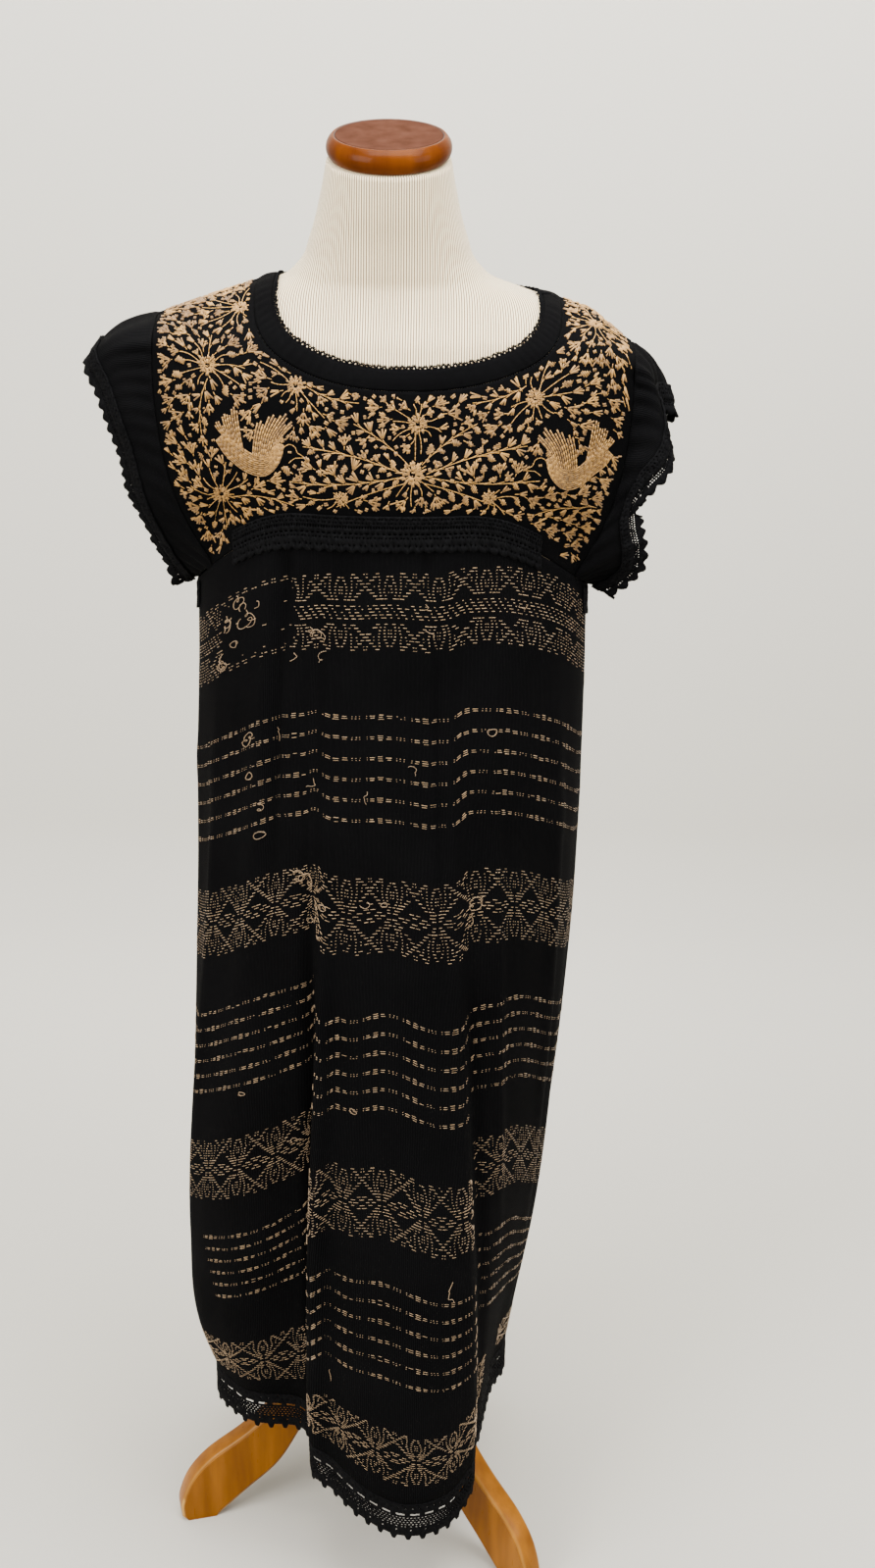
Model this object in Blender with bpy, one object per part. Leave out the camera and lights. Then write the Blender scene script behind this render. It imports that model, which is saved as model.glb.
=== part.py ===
"""A huipil dress on a limbless dress form that stands on a wooden tripod.

Metres, +Z up, the front faces -Y.  The sizes below are measured from the form's pole,
and at the end every piece moves so that the origin is on the floor under the middle
of the whole.  Each piece that is cut and sewn on is its own object: cloth is a thin
wall laid through a grid of points, worked out from the sizes and short tables below.
"""
import math

import bpy
import numpy as np

# ---- Driving sizes ---------------------------------------------------------
CLOTH = 0.0015            # wall of the cotton cloth
LACE = 0.0012             # wall of the crochet lace
SEAM_GAP = 0.0003         # gap between two pieces at a seam
HEM_SEAM_GAP = 0.0009     # the same at the hem, where the lace's columns cross the skirt's
LAID_GAP = 0.0005         # gap under a trim that lies on a panel
SIDE_SEAM_TURN = 0.07     # degrees by which a panel stops short of the side seam

# Form: neck, shoulders and tripod
CAP_RADIUS = 0.057
CAP_DEPTH_RATIO = 0.94
CAP_THICKNESS = 0.022
CAP_TILT = math.radians(8.0)
CAP_BASE_Z = 1.5045
NECK_BACK = 0.015         # the neck stands this far behind the pole
NECK_BACK_FROM = 1.30     # height where the shoulders start to lean back
NECK_BACK_RISE = 0.12
LEAN_FROM = 1.41          # height where the neck starts to tip with the cap
LEAN_RISE = 0.08
SHOULDER_TOP = 1.4347     # height at which the two shoulder slopes would meet
SHOULDER_SLOPE = 0.344
SHOULDER_EDGE_Z = 1.354   # above this the cloth ends on the shoulder slope
TORSO_COLUMNS = 32
POLE_RADIUS = 0.0125
HUB_RADIUS = 0.030
HUB_BOTTOM = 0.205
HUB_TOP = 0.325
LEG_THICKNESS = 0.024
LEG_CHAMFER = 0.0035
LEG_ANGLES = {"left": -75.0, "right": 45.0, "back": 165.0}

# Neck opening and yoke
NECK_SHIFT = 0.019        # the dress hangs this far to the wearer's left of the pole
NECK_HALF = 0.123
NECK_FRONT_Z = 1.339
NECK_BACK_Z = 1.377
NECK_POWER = 2.5
NECK_BAND = 0.016
PICOT_HEIGHT = 0.0045
PICOT_LIFT = 0.0008
YOKE_LEFT = -0.2115
YOKE_RIGHT = 0.2250
YOKE_CORNER_LEFT = -0.160
YOKE_CORNER_RIGHT = 0.176
EDGE_BEND = 2.6           # the yoke's sides run straight down and then turn in to the seam
SEAM_BLEND_FROM = 0.090   # height over the seam where the yoke starts to follow its wall
SEAM_BLEND_TO = 0.030
SHOULDER_SAG = 0.016      # the right shoulder hangs down past the end of the form's shoulder
SHOULDER_SAG_FROM = 0.180
SHOULDER_SAG_SPAN = 0.050
NECK_COLUMNS = 36         # round half of the neck opening
NECK_CROWD = 1.35         # above 1 they stand closer towards the shoulders
SIDE_COLUMNS = 8          # of these, the ones that end on each of the yoke's sides
SIDE_CROWD = 1.5
YOKE_ROWS = 8

# Skirt: seam under the yoke, hem and lace
SEAM_Z = 1.197
SEAM_DROOP = 0.082        # the seam sinks this far towards each underarm
DROOP_FROM = 28.0         # degrees from the front or back where it starts to sink
DROOP_POWER = 1.4
HEM_Z = 0.148
HEM_LIFT = 0.042          # the hem rides this much higher beside and behind the front lobe
LOBE_ANGLE = 11.0
LOBE_FLAT = 5.0
LOBE_REACH_LEFT = 34.0
LOBE_REACH_RIGHT = 22.0
SKIRT_COLUMNS = 80
SKIRT_ROWS = 12
ROW_GATHER = 1.05         # the rows stand a little closer at the top
FOLD_FULL = 1.05          # fall at which a fold has its full depth
BACK_FOLLOW = 0.35        # share of the centre's shift that the back takes up
HEM_LACE = 0.046
HEM_PICOT = 0.006
HEM_REPEATS = 60
SLOT_SHARE = 0.60         # share of a repeat that the open slot takes
SLOT_TOP = 0.30
SLOT_BOTTOM = 0.40
CHEST_LACE_UP = 0.018
CHEST_LACE_DOWN = 0.016
CHEST_LACE_ANGLE = 57.0
CHEST_LACE_COLUMNS = 44
CHEST_SCALLOP = 0.004
UNDERARM_HALF = 12.0
UNDERARM_COLUMNS = 6
UNDERARM_FALLS = (0.006, 0.018, 0.030)

# A leg's side outline from the hub to the foot and back, (reach from the pole, height)
LEG_UPPER = [(0.0305, 0.300), (0.058, 0.272), (0.088, 0.213), (0.112, 0.168), (0.136, 0.134),
             (0.166, 0.108), (0.203, 0.083), (0.226, 0.057), (0.238, 0.026), (0.238, 0.006)]
LEG_LOWER = [(0.198, 0.000), (0.162, 0.031), (0.126, 0.062), (0.100, 0.104), (0.076, 0.150),
             (0.055, 0.188), (0.0305, 0.216)]

# Torso sections, bottom to top: height, half width, front and back half depth
TORSO = [
    # z,     side,  front, back
    (0.760, 0.150, 0.100, 0.104),
    (0.772, 0.164, 0.110, 0.116),
    (0.830, 0.168, 0.112, 0.122),
    (0.900, 0.156, 0.106, 0.112),
    (0.980, 0.134, 0.096, 0.090),
    (1.040, 0.137, 0.100, 0.090),
    (1.100, 0.150, 0.112, 0.096),
    (1.150, 0.158, 0.1195, 0.100),
    (1.200, 0.163, 0.1180, 0.103),
    (1.260, 0.174, 0.110, 0.104),
    (1.310, 0.184, 0.101, 0.098),
    (1.343, 0.188, 0.092, 0.088),
    (1.360, 0.186, 0.084, 0.078),
    (1.371, 0.1760, 0.0730, 0.0660),
    (1.380, 0.1540, 0.0655, 0.0585),
    (1.389, 0.1278, 0.0595, 0.0525),
    (1.399, 0.0990, 0.0550, 0.0485),
    (1.412, 0.083, 0.0545, 0.0500),
    (1.438, 0.0715, 0.0530, 0.0500),
    (1.472, 0.0625, 0.0540, 0.0530),
    (1.5041, 0.0565, 0.0530, 0.0530),
]
TORSO_POWER = 2.2

# Cloth over the chest and shoulders: height, half width, front and back half depth
CHEST = [
    # z,     side,  front, back
    (1.100, 0.196, 0.1250, 0.112),
    (1.160, 0.204, 0.1255, 0.112),
    (1.200, 0.2195, 0.1250, 0.112),
    (1.250, 0.2305, 0.1190, 0.110),
    (1.300, 0.2350, 0.1105, 0.105),
    (1.335, 0.2365, 0.1000, 0.0960),
    (1.354, 0.2346, 0.0910, 0.0870),
    (1.371, 0.1852, 0.0800, 0.0745),
    (1.380, 0.1590, 0.0725, 0.0670),
    (1.389, 0.1328, 0.0665, 0.0605),
    (1.399, 0.1038, 0.0615, 0.0555),
]
CHEST_POWER = 2.2

# Skirt sections from the seam to the hem, before its folds are laid in
SKIRT = [
    # fall, left,  right, front, back,  centre_back
    (0.00, 0.1790, 0.1900, 0.1250, 0.1130, 0.000),
    (0.10, 0.1810, 0.1920, 0.1280, 0.1180, 0.000),
    (0.34, 0.1860, 0.1880, 0.1420, 0.1300, 0.004),
    (0.58, 0.1990, 0.1770, 0.1540, 0.1360, 0.016),
    (0.80, 0.2030, 0.1600, 0.1640, 0.1360, 0.036),
    (0.93, 0.1960, 0.1420, 0.1680, 0.1300, 0.050),
    (1.00, 0.1760, 0.1330, 0.1680, 0.1240, 0.058),
]
SKIRT_POWER = 2.3

# Folds of the skirt, round from the back: angle, how far each stands out at the hem
# (below zero is a valley), half its angular width on each side, and the fall where it starts
FOLDS = [
    # name,          angle,  out,    before, after, start
    ("back_middle",  -178.0, 0.020,  16.0, 16.0, 0.30),
    ("back_left",    -142.0, -0.016, 16.0, 14.0, 0.35),
    ("side_left",    -112.0, 0.014,  14.0, 14.0, 0.25),
    ("left_panel",   -66.0,  0.018,  12.0,  9.0, 0.30),
    ("left_valley",  -31.0,  -0.050, 11.0, 13.0, 0.16),
    ("front_lobe",    12.0,  0.038,  15.0, 15.0, 0.20),
    ("right_valley",  52.0,  -0.010, 14.0, 14.0, 0.14),
    ("right_panel",   80.0,  0.006,  11.0, 13.0, 0.30),
    ("side_right",    98.0,  -0.008, 14.0, 14.0, 0.35),
    ("back_right",   128.0,  0.018,  16.0, 16.0, 0.30),
    ("back_tuck",    154.0,  -0.012, 12.0, 12.0, 0.35),
]

# Inverted pleats under the yoke seam: angle, depth, half width, fall where each has opened out
PLEATS = [
    # name,       angle,  depth,  half,  fades
    ("left",      -38.0,  0.0085, 5.0,  0.16),
    ("right",      18.0,  0.0040, 4.5,  0.10),
    ("back_left", -148.0, 0.0060, 5.0,  0.14),
    ("back_right", 148.0, 0.0060, 5.0,  0.14),
]

# Sleeve caps: where the edge's top and foot lie, its half depth, and its flutter
SLEEVES = {
    # side:   tip_x,  tip_z, foot_x, foot_z, depth, wave,  waves, phase
    "left":  (-0.270, 1.332, -0.190, 1.111, 0.050, 0.003, 4.0, 0.4),
    "right": (0.258, 1.292, 0.208, 1.106, 0.056, 0.0105, 4.8, 3.67),
}
SLEEVE_ROWS = 4
SLEEVE_BELLY = 0.006      # how far the cap swells between the armhole and its edge
SLEEVE_FADE = 0.6         # the flutter dies away over this much turn at the foot, in radians
SLEEVE_SEAM = 3.0 * SEAM_GAP
UNDERARM_STEPS = 4
LACE_POINTS_PER_COLUMN = 2
FOOT_REACH = 0.940        # share of the half turn at which a sleeve's two ends stop at the foot
SLEEVE_LACE = 0.014
SLEEVE_PICOT = 0.004

# ---- Colours ---------------------------------------------------------------
BLACK_CLOTH = (0.010, 0.010, 0.012, 1.0)
BLACK_LACE = (0.008, 0.008, 0.009, 1.0)
JERSEY = (0.80, 0.75, 0.64, 1.0)
HONEY_WOOD = (0.43, 0.16, 0.03, 1.0)


# ---- Helpers ---------------------------------------------------------------
def clear_scene():
    for old in list(bpy.data.objects):
        bpy.data.objects.remove(old, do_unlink=True)


def finish(name, rgba, roughness):
    """A plain Principled finish in the piece's own colour."""
    material = bpy.data.materials.new(name + "_finish")
    material.use_nodes = True
    shader = material.node_tree.nodes["Principled BSDF"]
    shader.inputs["Base Color"].default_value = rgba
    shader.inputs["Roughness"].default_value = roughness
    shader.inputs["Metallic"].default_value = 0.0
    material.diffuse_color = rgba
    return material


def add_piece(name, points, faces, rgba, roughness=0.9, sharp=math.radians(35)):
    mesh = bpy.data.meshes.new(name)
    mesh.from_pydata([tuple(float(c) for c in p) for p in points], [], faces)
    mesh.validate()
    mesh.shade_smooth()
    mesh.set_sharp_from_angle(angle=sharp)
    piece = bpy.data.objects.new(name, mesh)
    bpy.context.scene.collection.objects.link(piece)
    mesh.materials.append(finish(name, rgba, roughness))
    return piece


def smooth(x):
    x = min(1.0, max(0.0, x))
    return x * x * (3.0 - 2.0 * x)


def table_row(table, key):
    """The table's values at a key, on straight lines between its rows."""
    keys = [row[0] for row in table]
    place = min(max(key, keys[0]), keys[-1])
    index = min(int(np.searchsorted(keys, place, side="right")) - 1, len(keys) - 2)
    share = (place - keys[index]) / (keys[index + 1] - keys[index])
    low = np.array(table[index][1:], dtype=float)
    high = np.array(table[index + 1][1:], dtype=float)
    return low + (high - low) * share


def degrees_past(angle, centre):
    """How far an angle in radians lies past a centre in degrees, from -180 to 180."""
    return (math.degrees(angle) - centre + 180.0) % 360.0 - 180.0


def superellipse(angle, side, depth, power):
    """Radius of an oval at an angle from the front."""
    across = abs(math.sin(angle)) / side
    along = abs(math.cos(angle)) / depth
    return (across ** power + along ** power) ** (-1.0 / power)


def grid_normals(grid, wraps=False):
    """Unit normals of a grid of points, rows first."""
    if wraps:
        along = np.roll(grid, -1, axis=1) - np.roll(grid, 1, axis=1)
    else:
        along = np.gradient(grid, axis=1)
    down = np.gradient(grid, axis=0)
    normals = np.cross(down, along)
    return normals / np.maximum(np.linalg.norm(normals, axis=2, keepdims=True), 1e-12)


def wall_faces(rows, columns, wraps, holes=()):
    """Faces of a closed wall: outer sheet, inner sheet, rims, and the sides of its holes."""
    outer = lambda j, i: j * columns + i % columns
    inner = lambda j, i: rows * columns + j * columns + i % columns
    cells = columns if wraps else columns - 1
    open_cells = set(holes)
    solid = [(j, i) for j in range(rows - 1) for i in range(cells) if (j, i) not in open_cells]
    present = set(solid)
    faces = []
    for j, i in solid:
        faces.append((outer(j, i), outer(j + 1, i), outer(j + 1, i + 1), outer(j, i + 1)))
        faces.append((inner(j, i), inner(j, i + 1), inner(j + 1, i + 1), inner(j + 1, i)))
        left = (j, (i - 1) % cells if wraps else i - 1)
        right = (j, (i + 1) % cells if wraps else i + 1)
        if (j - 1, i) not in present:
            faces.append((outer(j, i), outer(j, i + 1), inner(j, i + 1), inner(j, i)))
        if (j + 1, i) not in present:
            faces.append((outer(j + 1, i + 1), outer(j + 1, i), inner(j + 1, i), inner(j + 1, i + 1)))
        if left not in present:
            faces.append((outer(j + 1, i), outer(j, i), inner(j, i), inner(j + 1, i)))
        if right not in present:
            faces.append((outer(j, i + 1), outer(j + 1, i + 1), inner(j + 1, i + 1), inner(j, i + 1)))
    return faces


def cloth_piece(name, grid, normals, thick, rgba, wraps=False, holes=(), roughness=0.9):
    """A cloth or lace wall whose inner face runs through the grid's points."""
    rows, columns = grid.shape[:2]
    if np.sum(grid_normals(grid, wraps) * normals) < 0.0:
        grid = grid[:, ::-1]
        normals = normals[:, ::-1]
        holes = [(j, columns - 2 - i) for j, i in holes]
    outer = (grid + normals * thick).reshape(-1, 3)
    points = np.vstack([outer, grid.reshape(-1, 3)])
    return add_piece(name, points, wall_faces(rows, columns, wraps, holes), rgba, roughness)


def turned_piece(name, profile, segments, rgba, roughness, place=(0.0, 0.0), ratio=1.0, tilt=0.0):
    """A turned solid from (radius, height) points, bottom to top, that start and end on its axis."""
    points = []
    rings = profile[1:-1]
    for radius, height in rings:
        for k in range(segments):
            turn = 2.0 * math.pi * k / segments
            x = radius * math.cos(turn)
            y = radius * ratio * math.sin(turn)
            points.append((place[0] + x, place[1] + y, height + math.tan(tilt) * y))
    faces = []
    for ring in range(len(rings) - 1):
        low = ring * segments
        high = low + segments
        for k in range(segments):
            after = (k + 1) % segments
            faces.append((low + k, low + after, high + after, high + k))
    foot = len(points)
    points.append((place[0], place[1], profile[0][1]))
    points.append((place[0], place[1], profile[-1][1]))
    top = (len(rings) - 1) * segments
    for k in range(segments):
        after = (k + 1) % segments
        faces.append((foot, after, k))
        faces.append((foot + 1, top + k, top + after))
    return add_piece(name, points, faces, rgba, roughness)


# ---- The form --------------------------------------------------------------
def neck_shift(z):
    """How far back the shoulders and neck stand at a height."""
    return NECK_BACK * smooth((z - NECK_BACK_FROM) / NECK_BACK_RISE)


def make_torso():
    """Rings up the padded body; the top ones lean with the neck cap."""
    points = []
    for z, side, front, back in TORSO:
        lean = smooth((z - LEAN_FROM) / LEAN_RISE)
        shift = neck_shift(z)
        power = TORSO_POWER - 0.2 * lean
        for k in range(TORSO_COLUMNS):
            angle = 2.0 * math.pi * k / TORSO_COLUMNS
            depth = front if math.cos(angle) >= 0.0 else back
            radius = superellipse(angle, side, depth, power)
            x = radius * math.sin(angle)
            y = -radius * math.cos(angle)
            points.append((x, y + shift, z + math.tan(CAP_TILT) * lean * y))
    faces = []
    rings = len(TORSO)
    for ring in range(rings - 1):
        low = ring * TORSO_COLUMNS
        high = low + TORSO_COLUMNS
        for k in range(TORSO_COLUMNS):
            after = (k + 1) % TORSO_COLUMNS
            faces.append((low + k, low + after, high + after, high + k))
    faces.append(tuple(reversed(range(TORSO_COLUMNS))))
    top = (rings - 1) * TORSO_COLUMNS
    faces.append(tuple(top + k for k in range(TORSO_COLUMNS)))
    add_piece("form_torso", points, faces, JERSEY, 0.85)


def make_cap():
    """A turned oval of lacquered wood with a rounded rim and a fine groove round its top."""
    base = CAP_BASE_Z
    high = base + CAP_THICKNESS
    profile = [
        (0.0, base),
        (CAP_RADIUS - 0.0050, base),
        (CAP_RADIUS - 0.0015, base + 0.0025),
        (CAP_RADIUS, base + 0.0080),
        (CAP_RADIUS - 0.0005, base + 0.0150),
        (CAP_RADIUS - 0.0030, high - 0.0015),
        (CAP_RADIUS - 0.0060, high),
        (CAP_RADIUS - 0.0075, high - 0.0008),
        (CAP_RADIUS - 0.0090, high),
        (0.0, high),
    ]
    turned_piece("form_neck_cap", profile, 28, HONEY_WOOD, 0.2,
                 (0.0, NECK_BACK), CAP_DEPTH_RATIO, CAP_TILT)


def make_pole_and_hub():
    pole = [(0.0, HUB_TOP + SEAM_GAP), (POLE_RADIUS, HUB_TOP + SEAM_GAP),
            (POLE_RADIUS, TORSO[0][0] - SEAM_GAP), (0.0, TORSO[0][0] - SEAM_GAP)]
    turned_piece("form_pole", pole, 20, HONEY_WOOD, 0.3)
    hub = [
        (0.0, HUB_BOTTOM),
        (HUB_RADIUS - 0.010, HUB_BOTTOM),
        (HUB_RADIUS, HUB_BOTTOM + 0.008),
        (HUB_RADIUS, HUB_TOP - 0.020),
        (HUB_RADIUS - 0.006, HUB_TOP - 0.006),
        (HUB_RADIUS - 0.012, HUB_TOP),
        (0.0, HUB_TOP),
    ]
    turned_piece("form_hub", hub, 24, HONEY_WOOD, 0.3)


def curve_through(stops, steps):
    """A smooth curve through a few points."""
    stops = np.array(stops)
    padded = np.vstack([2.0 * stops[0] - stops[1], stops, 2.0 * stops[-1] - stops[-2]])
    spots = []
    for k in range(len(stops) - 1):
        p0, p1, p2, p3 = padded[k:k + 4]
        for step in range(steps):
            t = step / steps
            spots.append(0.5 * (2.0 * p1 + (p2 - p0) * t + (2.0 * p0 - 5.0 * p1 + 4.0 * p2 - p3) * t * t
                                + (3.0 * p1 - p0 - 3.0 * p2 + p3) * t ** 3))
    spots.append(stops[-1])
    return [tuple(p) for p in spots]


def leg_outline():
    """The leg's side outline: an S from the hub down to a flat sole."""
    heel = (LEG_LOWER[0][0], 0.0)
    toe = (LEG_UPPER[-1][0] - 0.006, 0.0)
    return curve_through(LEG_UPPER, 2) + [toe, heel] + curve_through(LEG_LOWER, 2)[1:]


def make_leg(side, angle_degrees):
    outline = leg_outline()
    count = len(outline)
    angle = math.radians(angle_degrees)
    outward = np.array([math.sin(angle), -math.cos(angle)])
    sideways = np.array([math.cos(angle), math.sin(angle)])
    half = LEG_THICKNESS / 2.0
    layers = [(-half, LEG_CHAMFER), (-half + LEG_CHAMFER, 0.0),
              (half - LEG_CHAMFER, 0.0), (half, LEG_CHAMFER)]
    points = []
    for offset, inset in layers:
        for k in range(count):
            before = np.array(outline[k - 1])
            here = np.array(outline[k])
            after = np.array(outline[(k + 1) % count])
            edge_in = (here - before) / max(np.linalg.norm(here - before), 1e-9)
            edge_out = (after - here) / max(np.linalg.norm(after - here), 1e-9)
            normal = np.array([edge_in[1] + edge_out[1], -(edge_in[0] + edge_out[0])])
            normal = normal / max(np.linalg.norm(normal), 1e-9)
            reach, height = here + normal * inset
            if here[1] == 0.0:
                height = 0.0
            reach = max(reach, outline[0][0])
            spot = outward * reach + sideways * offset
            points.append((spot[0], spot[1], height))
    faces = []
    for layer in range(3):
        low = layer * count
        high = low + count
        for k in range(count):
            after = (k + 1) % count
            faces.append((low + k, low + after, high + after, high + k))
    faces.append(tuple(reversed(range(count))))
    faces.append(tuple(3 * count + k for k in range(count)))
    add_piece("form_leg_" + side, points, faces, HONEY_WOOD, 0.25)


# ---- Chest surface ---------------------------------------------------------
def ridge_z(x):
    """Height of the shoulder slope."""
    return SHOULDER_TOP - SHOULDER_SLOPE * abs(x)


def chest_half_width(z):
    if z >= SHOULDER_EDGE_Z:
        return (SHOULDER_TOP - z) / SHOULDER_SLOPE
    return float(table_row(CHEST, z)[0])


def chest_y(x, z, facing):
    """Depth of the cloth at x and z: facing is -1 in front and 1 behind."""
    front, back = table_row(CHEST, z)[1:]
    side = chest_half_width(z)
    depth = front if facing < 0 else back
    inside = max(0.0, 1.0 - (abs(x) / side) ** CHEST_POWER)
    return facing * depth * inside ** (1.0 / CHEST_POWER) + neck_shift(z)


def droop(angle):
    """How far the seam sinks towards the underarm."""
    turn = abs((angle + math.pi) % (2.0 * math.pi) - math.pi)
    if turn > math.pi / 2.0:
        turn = math.pi - turn
    share = (math.degrees(turn) - DROOP_FROM) / (90.0 - DROOP_FROM)
    return SEAM_DROOP * smooth(share) ** DROOP_POWER


# ---- Skirt surface ---------------------------------------------------------
def fold_out(angle, fall):
    """How far the folds stand out at an angle and a fall from 0 at the seam to 1 at the hem."""
    total = 0.0
    for name, centre, out, before, after, start in FOLDS:
        gap = degrees_past(angle, centre)
        width = 2.0 * (before if gap < 0.0 else after)
        if abs(gap) < width:
            grown = smooth((fall - start) / (FOLD_FULL - start)) if fall < 1.0 else 1.0
            total += out * grown * 0.5 * (1.0 + math.cos(math.pi * gap / width))
    for name, centre, depth, half, fades in PLEATS:
        gap = degrees_past(angle, centre)
        if abs(gap) < half and fall < fades:
            total -= depth * (1.0 - fall / fades) * 0.5 * (1.0 + math.cos(math.pi * gap / half))
    return total


def skirt_point(angle, fall):
    """A point of the skirt's inner face; a fall over 1 runs on down the hem lace."""
    left, right, front, back, centre_back = table_row(SKIRT, fall)
    side = left if math.sin(angle) < 0.0 else right
    depth = front + centre_back if math.cos(angle) >= 0.0 else back - centre_back * BACK_FOLLOW
    radius = superellipse(angle, side, depth, SKIRT_POWER) + fold_out(angle, fall)
    top = SEAM_Z - droop(angle)
    from_lobe = degrees_past(angle, LOBE_ANGLE)
    reach = LOBE_REACH_LEFT if from_lobe < 0.0 else LOBE_REACH_RIGHT
    foot = HEM_Z + HEM_LIFT * smooth((abs(from_lobe) - LOBE_FLAT) / reach)
    return np.array([radius * math.sin(angle),
                     -radius * math.cos(angle) + centre_back,
                     top + (foot - top) * fall])


def levelled(normals):
    """The same directions without their rise."""
    flat = normals * np.array([1.0, 1.0, 0.0])
    return flat / np.linalg.norm(flat, axis=-1, keepdims=True)


def radial_normals(grid):
    """Level directions away from the pole, for rims that have to stay apart."""
    return levelled(grid)


def skirt_edge_point(angle, fall):
    """A point on the straight line between two of the skirt's columns."""
    step = 360.0 / SKIRT_COLUMNS
    place = (math.degrees(angle) + 90.0) / step
    low = math.floor(place)
    share = place - low
    before = skirt_point(math.radians(low * step - 90.0), fall)
    after = skirt_point(math.radians((low + 1) * step - 90.0), fall)
    return before + (after - before) * share


def skirt_angles(start, stop, count):
    return [math.radians(start + (stop - start) * k / count) for k in range(count + 1)]


def make_skirt():
    half = SKIRT_COLUMNS // 2
    spare = math.radians(SIDE_SEAM_TURN)
    for name, start, stop in (("skirt_front", -90.0, 90.0), ("skirt_back", 90.0, 270.0)):
        angles = skirt_angles(start, stop, half)
        angles[0] += spare
        angles[-1] -= spare
        falls = [(j / SKIRT_ROWS) ** ROW_GATHER for j in range(SKIRT_ROWS + 1)]
        grid = np.array([[skirt_point(a, f) for a in angles] for f in falls])
        grid[0, :, 2] -= SEAM_GAP
        normals = grid_normals(grid)
        normals[0] = radial_normals(grid[:1])[0]
        normals[-1] = levelled(normals[-1])
        normals[:, 0] = side_direction(angles[0])
        normals[:, -1] = side_direction(angles[-1])
        cloth_piece(name, grid, normals, CLOTH, BLACK_CLOTH)


def side_direction(angle):
    return np.array([math.sin(angle), -math.cos(angle), 0.0])


def hem_arc_angles(start, stop, repeats):
    """Angles that part the hem into equal lengths: slot and bar, in turn."""
    fine = 720
    angles = [math.radians(start + (stop - start) * k / fine) for k in range(fine + 1)]
    spots = np.array([skirt_point(a, 1.0) for a in angles])
    lengths = np.concatenate([[0.0], np.cumsum(np.linalg.norm(np.diff(spots, axis=0), axis=1))])
    stops = []
    for k in range(repeats):
        stops.append(k / repeats)
        stops.append((k + 1.0 - SLOT_SHARE) / repeats)
    stops.append(1.0)
    return list(np.interp(np.array(stops) * lengths[-1], lengths, angles)), lengths[-1]


def make_hem_lace():
    """Crochet edging: a heading, a row of slots cut through, a net band and points."""
    lace_fall = HEM_LACE / (SEAM_Z - HEM_Z)
    levels = [0.0, SLOT_TOP, SLOT_BOTTOM, 1.0]
    spare = math.radians(SIDE_SEAM_TURN)
    halves = (("hem_lace_front", -90.0, 90.0), ("hem_lace_back", 90.0, 270.0))
    spans = [hem_arc_angles(start, stop, 1)[1] for _, start, stop in halves]
    for (name, start, stop), span in zip(halves, spans):
        repeats = round(HEM_REPEATS * span / sum(spans))
        angles = hem_arc_angles(start, stop, repeats)[0]
        angles[0] += spare
        angles[-1] -= spare
        grid = []
        for level in levels:
            follow = skirt_edge_point if level == 0.0 else skirt_point
            grid.append([follow(a, 1.0 + lace_fall * level) for a in angles])
        grid = np.array(grid)
        grid[0, :, 2] -= HEM_SEAM_GAP
        grid[-1, 0::2, 2] -= HEM_PICOT
        holes = [(1, i) for i in range(1, len(angles) - 1, 2)]
        smooth_grid = grid.copy()
        smooth_grid[-1, 0::2, 2] += HEM_PICOT
        normals = grid_normals(smooth_grid)
        normals[0] = levelled(normals[0])
        normals[:, 0] = side_direction(angles[0])
        normals[:, -1] = side_direction(angles[-1])
        cloth_piece(name, grid, normals, LACE, BLACK_LACE, holes=holes)


def make_chest_lace():
    """A crochet band sewn over the yoke seam, front and back, moved out from the panels."""
    step = 2.0 * CHEST_LACE_ANGLE / CHEST_LACE_COLUMNS
    for name, middle in (("chest_lace_front", 0.0), ("chest_lace_back", 180.0)):
        first = middle - CHEST_LACE_ANGLE
        angles = [math.radians(first + step * k) for k in range(CHEST_LACE_COLUMNS + 1)]
        rows = []
        for level in (0.0, 1.0):
            row = []
            for k, angle in enumerate(angles):
                spot = skirt_flat(angle, (CHEST_LACE_UP + CHEST_LACE_DOWN) * level - CHEST_LACE_UP)
                if level == 1.0 and k % 2:
                    spot[2] += CHEST_SCALLOP
                row.append(spot)
            rows.append(row)
        grid = np.array(rows)
        normals = radial_normals(grid)
        lifted = grid + normals * (CLOTH + LAID_GAP)
        cloth_piece(name, lifted, normals, LACE, BLACK_LACE)


def make_underarm_lace():
    """Small crochet gussets under both arms, moved out from the skirt's side."""
    for name, middle in (("underarm_lace_left", -90.0), ("underarm_lace_right", 90.0)):
        angles = skirt_angles(middle - UNDERARM_HALF, middle + UNDERARM_HALF, UNDERARM_COLUMNS)
        grid = np.array([[skirt_point(a, fall) for a in angles] for fall in UNDERARM_FALLS])
        grid[-1, 0::2, 2] -= CHEST_SCALLOP
        normals = radial_normals(grid)
        lifted = grid + normals * (CLOTH + LAID_GAP)
        cloth_piece(name, lifted, normals, LACE, BLACK_LACE)


# ---- Neck and yoke ---------------------------------------------------------
def neck_turn(k):
    """Turns round half of the neck opening, a little closer together near the shoulders."""
    place = 2.0 * k / NECK_COLUMNS - 1.0
    return math.copysign(math.pi / 2.0 * (1.0 - (1.0 - abs(place)) ** NECK_CROWD), place)


def neck_point(turn, out, facing):
    """A point at a turn round the neck opening, -90 to 90 degrees, and a distance out from it."""
    half = NECK_HALF + out
    low = (NECK_FRONT_Z if facing < 0 else NECK_BACK_Z) - out
    sine = math.sin(turn)
    x = NECK_SHIFT + half * math.copysign(abs(sine) ** (2.0 / NECK_POWER), sine)
    share = max(0.0, math.cos(turn)) ** (2.0 / NECK_POWER)
    end = ridge_z(x)
    z = end - (end - low) * share
    return x, z


def shoulder_sag(x):
    return SHOULDER_SAG * smooth((x - SHOULDER_SAG_FROM) / SHOULDER_SAG_SPAN)


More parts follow.
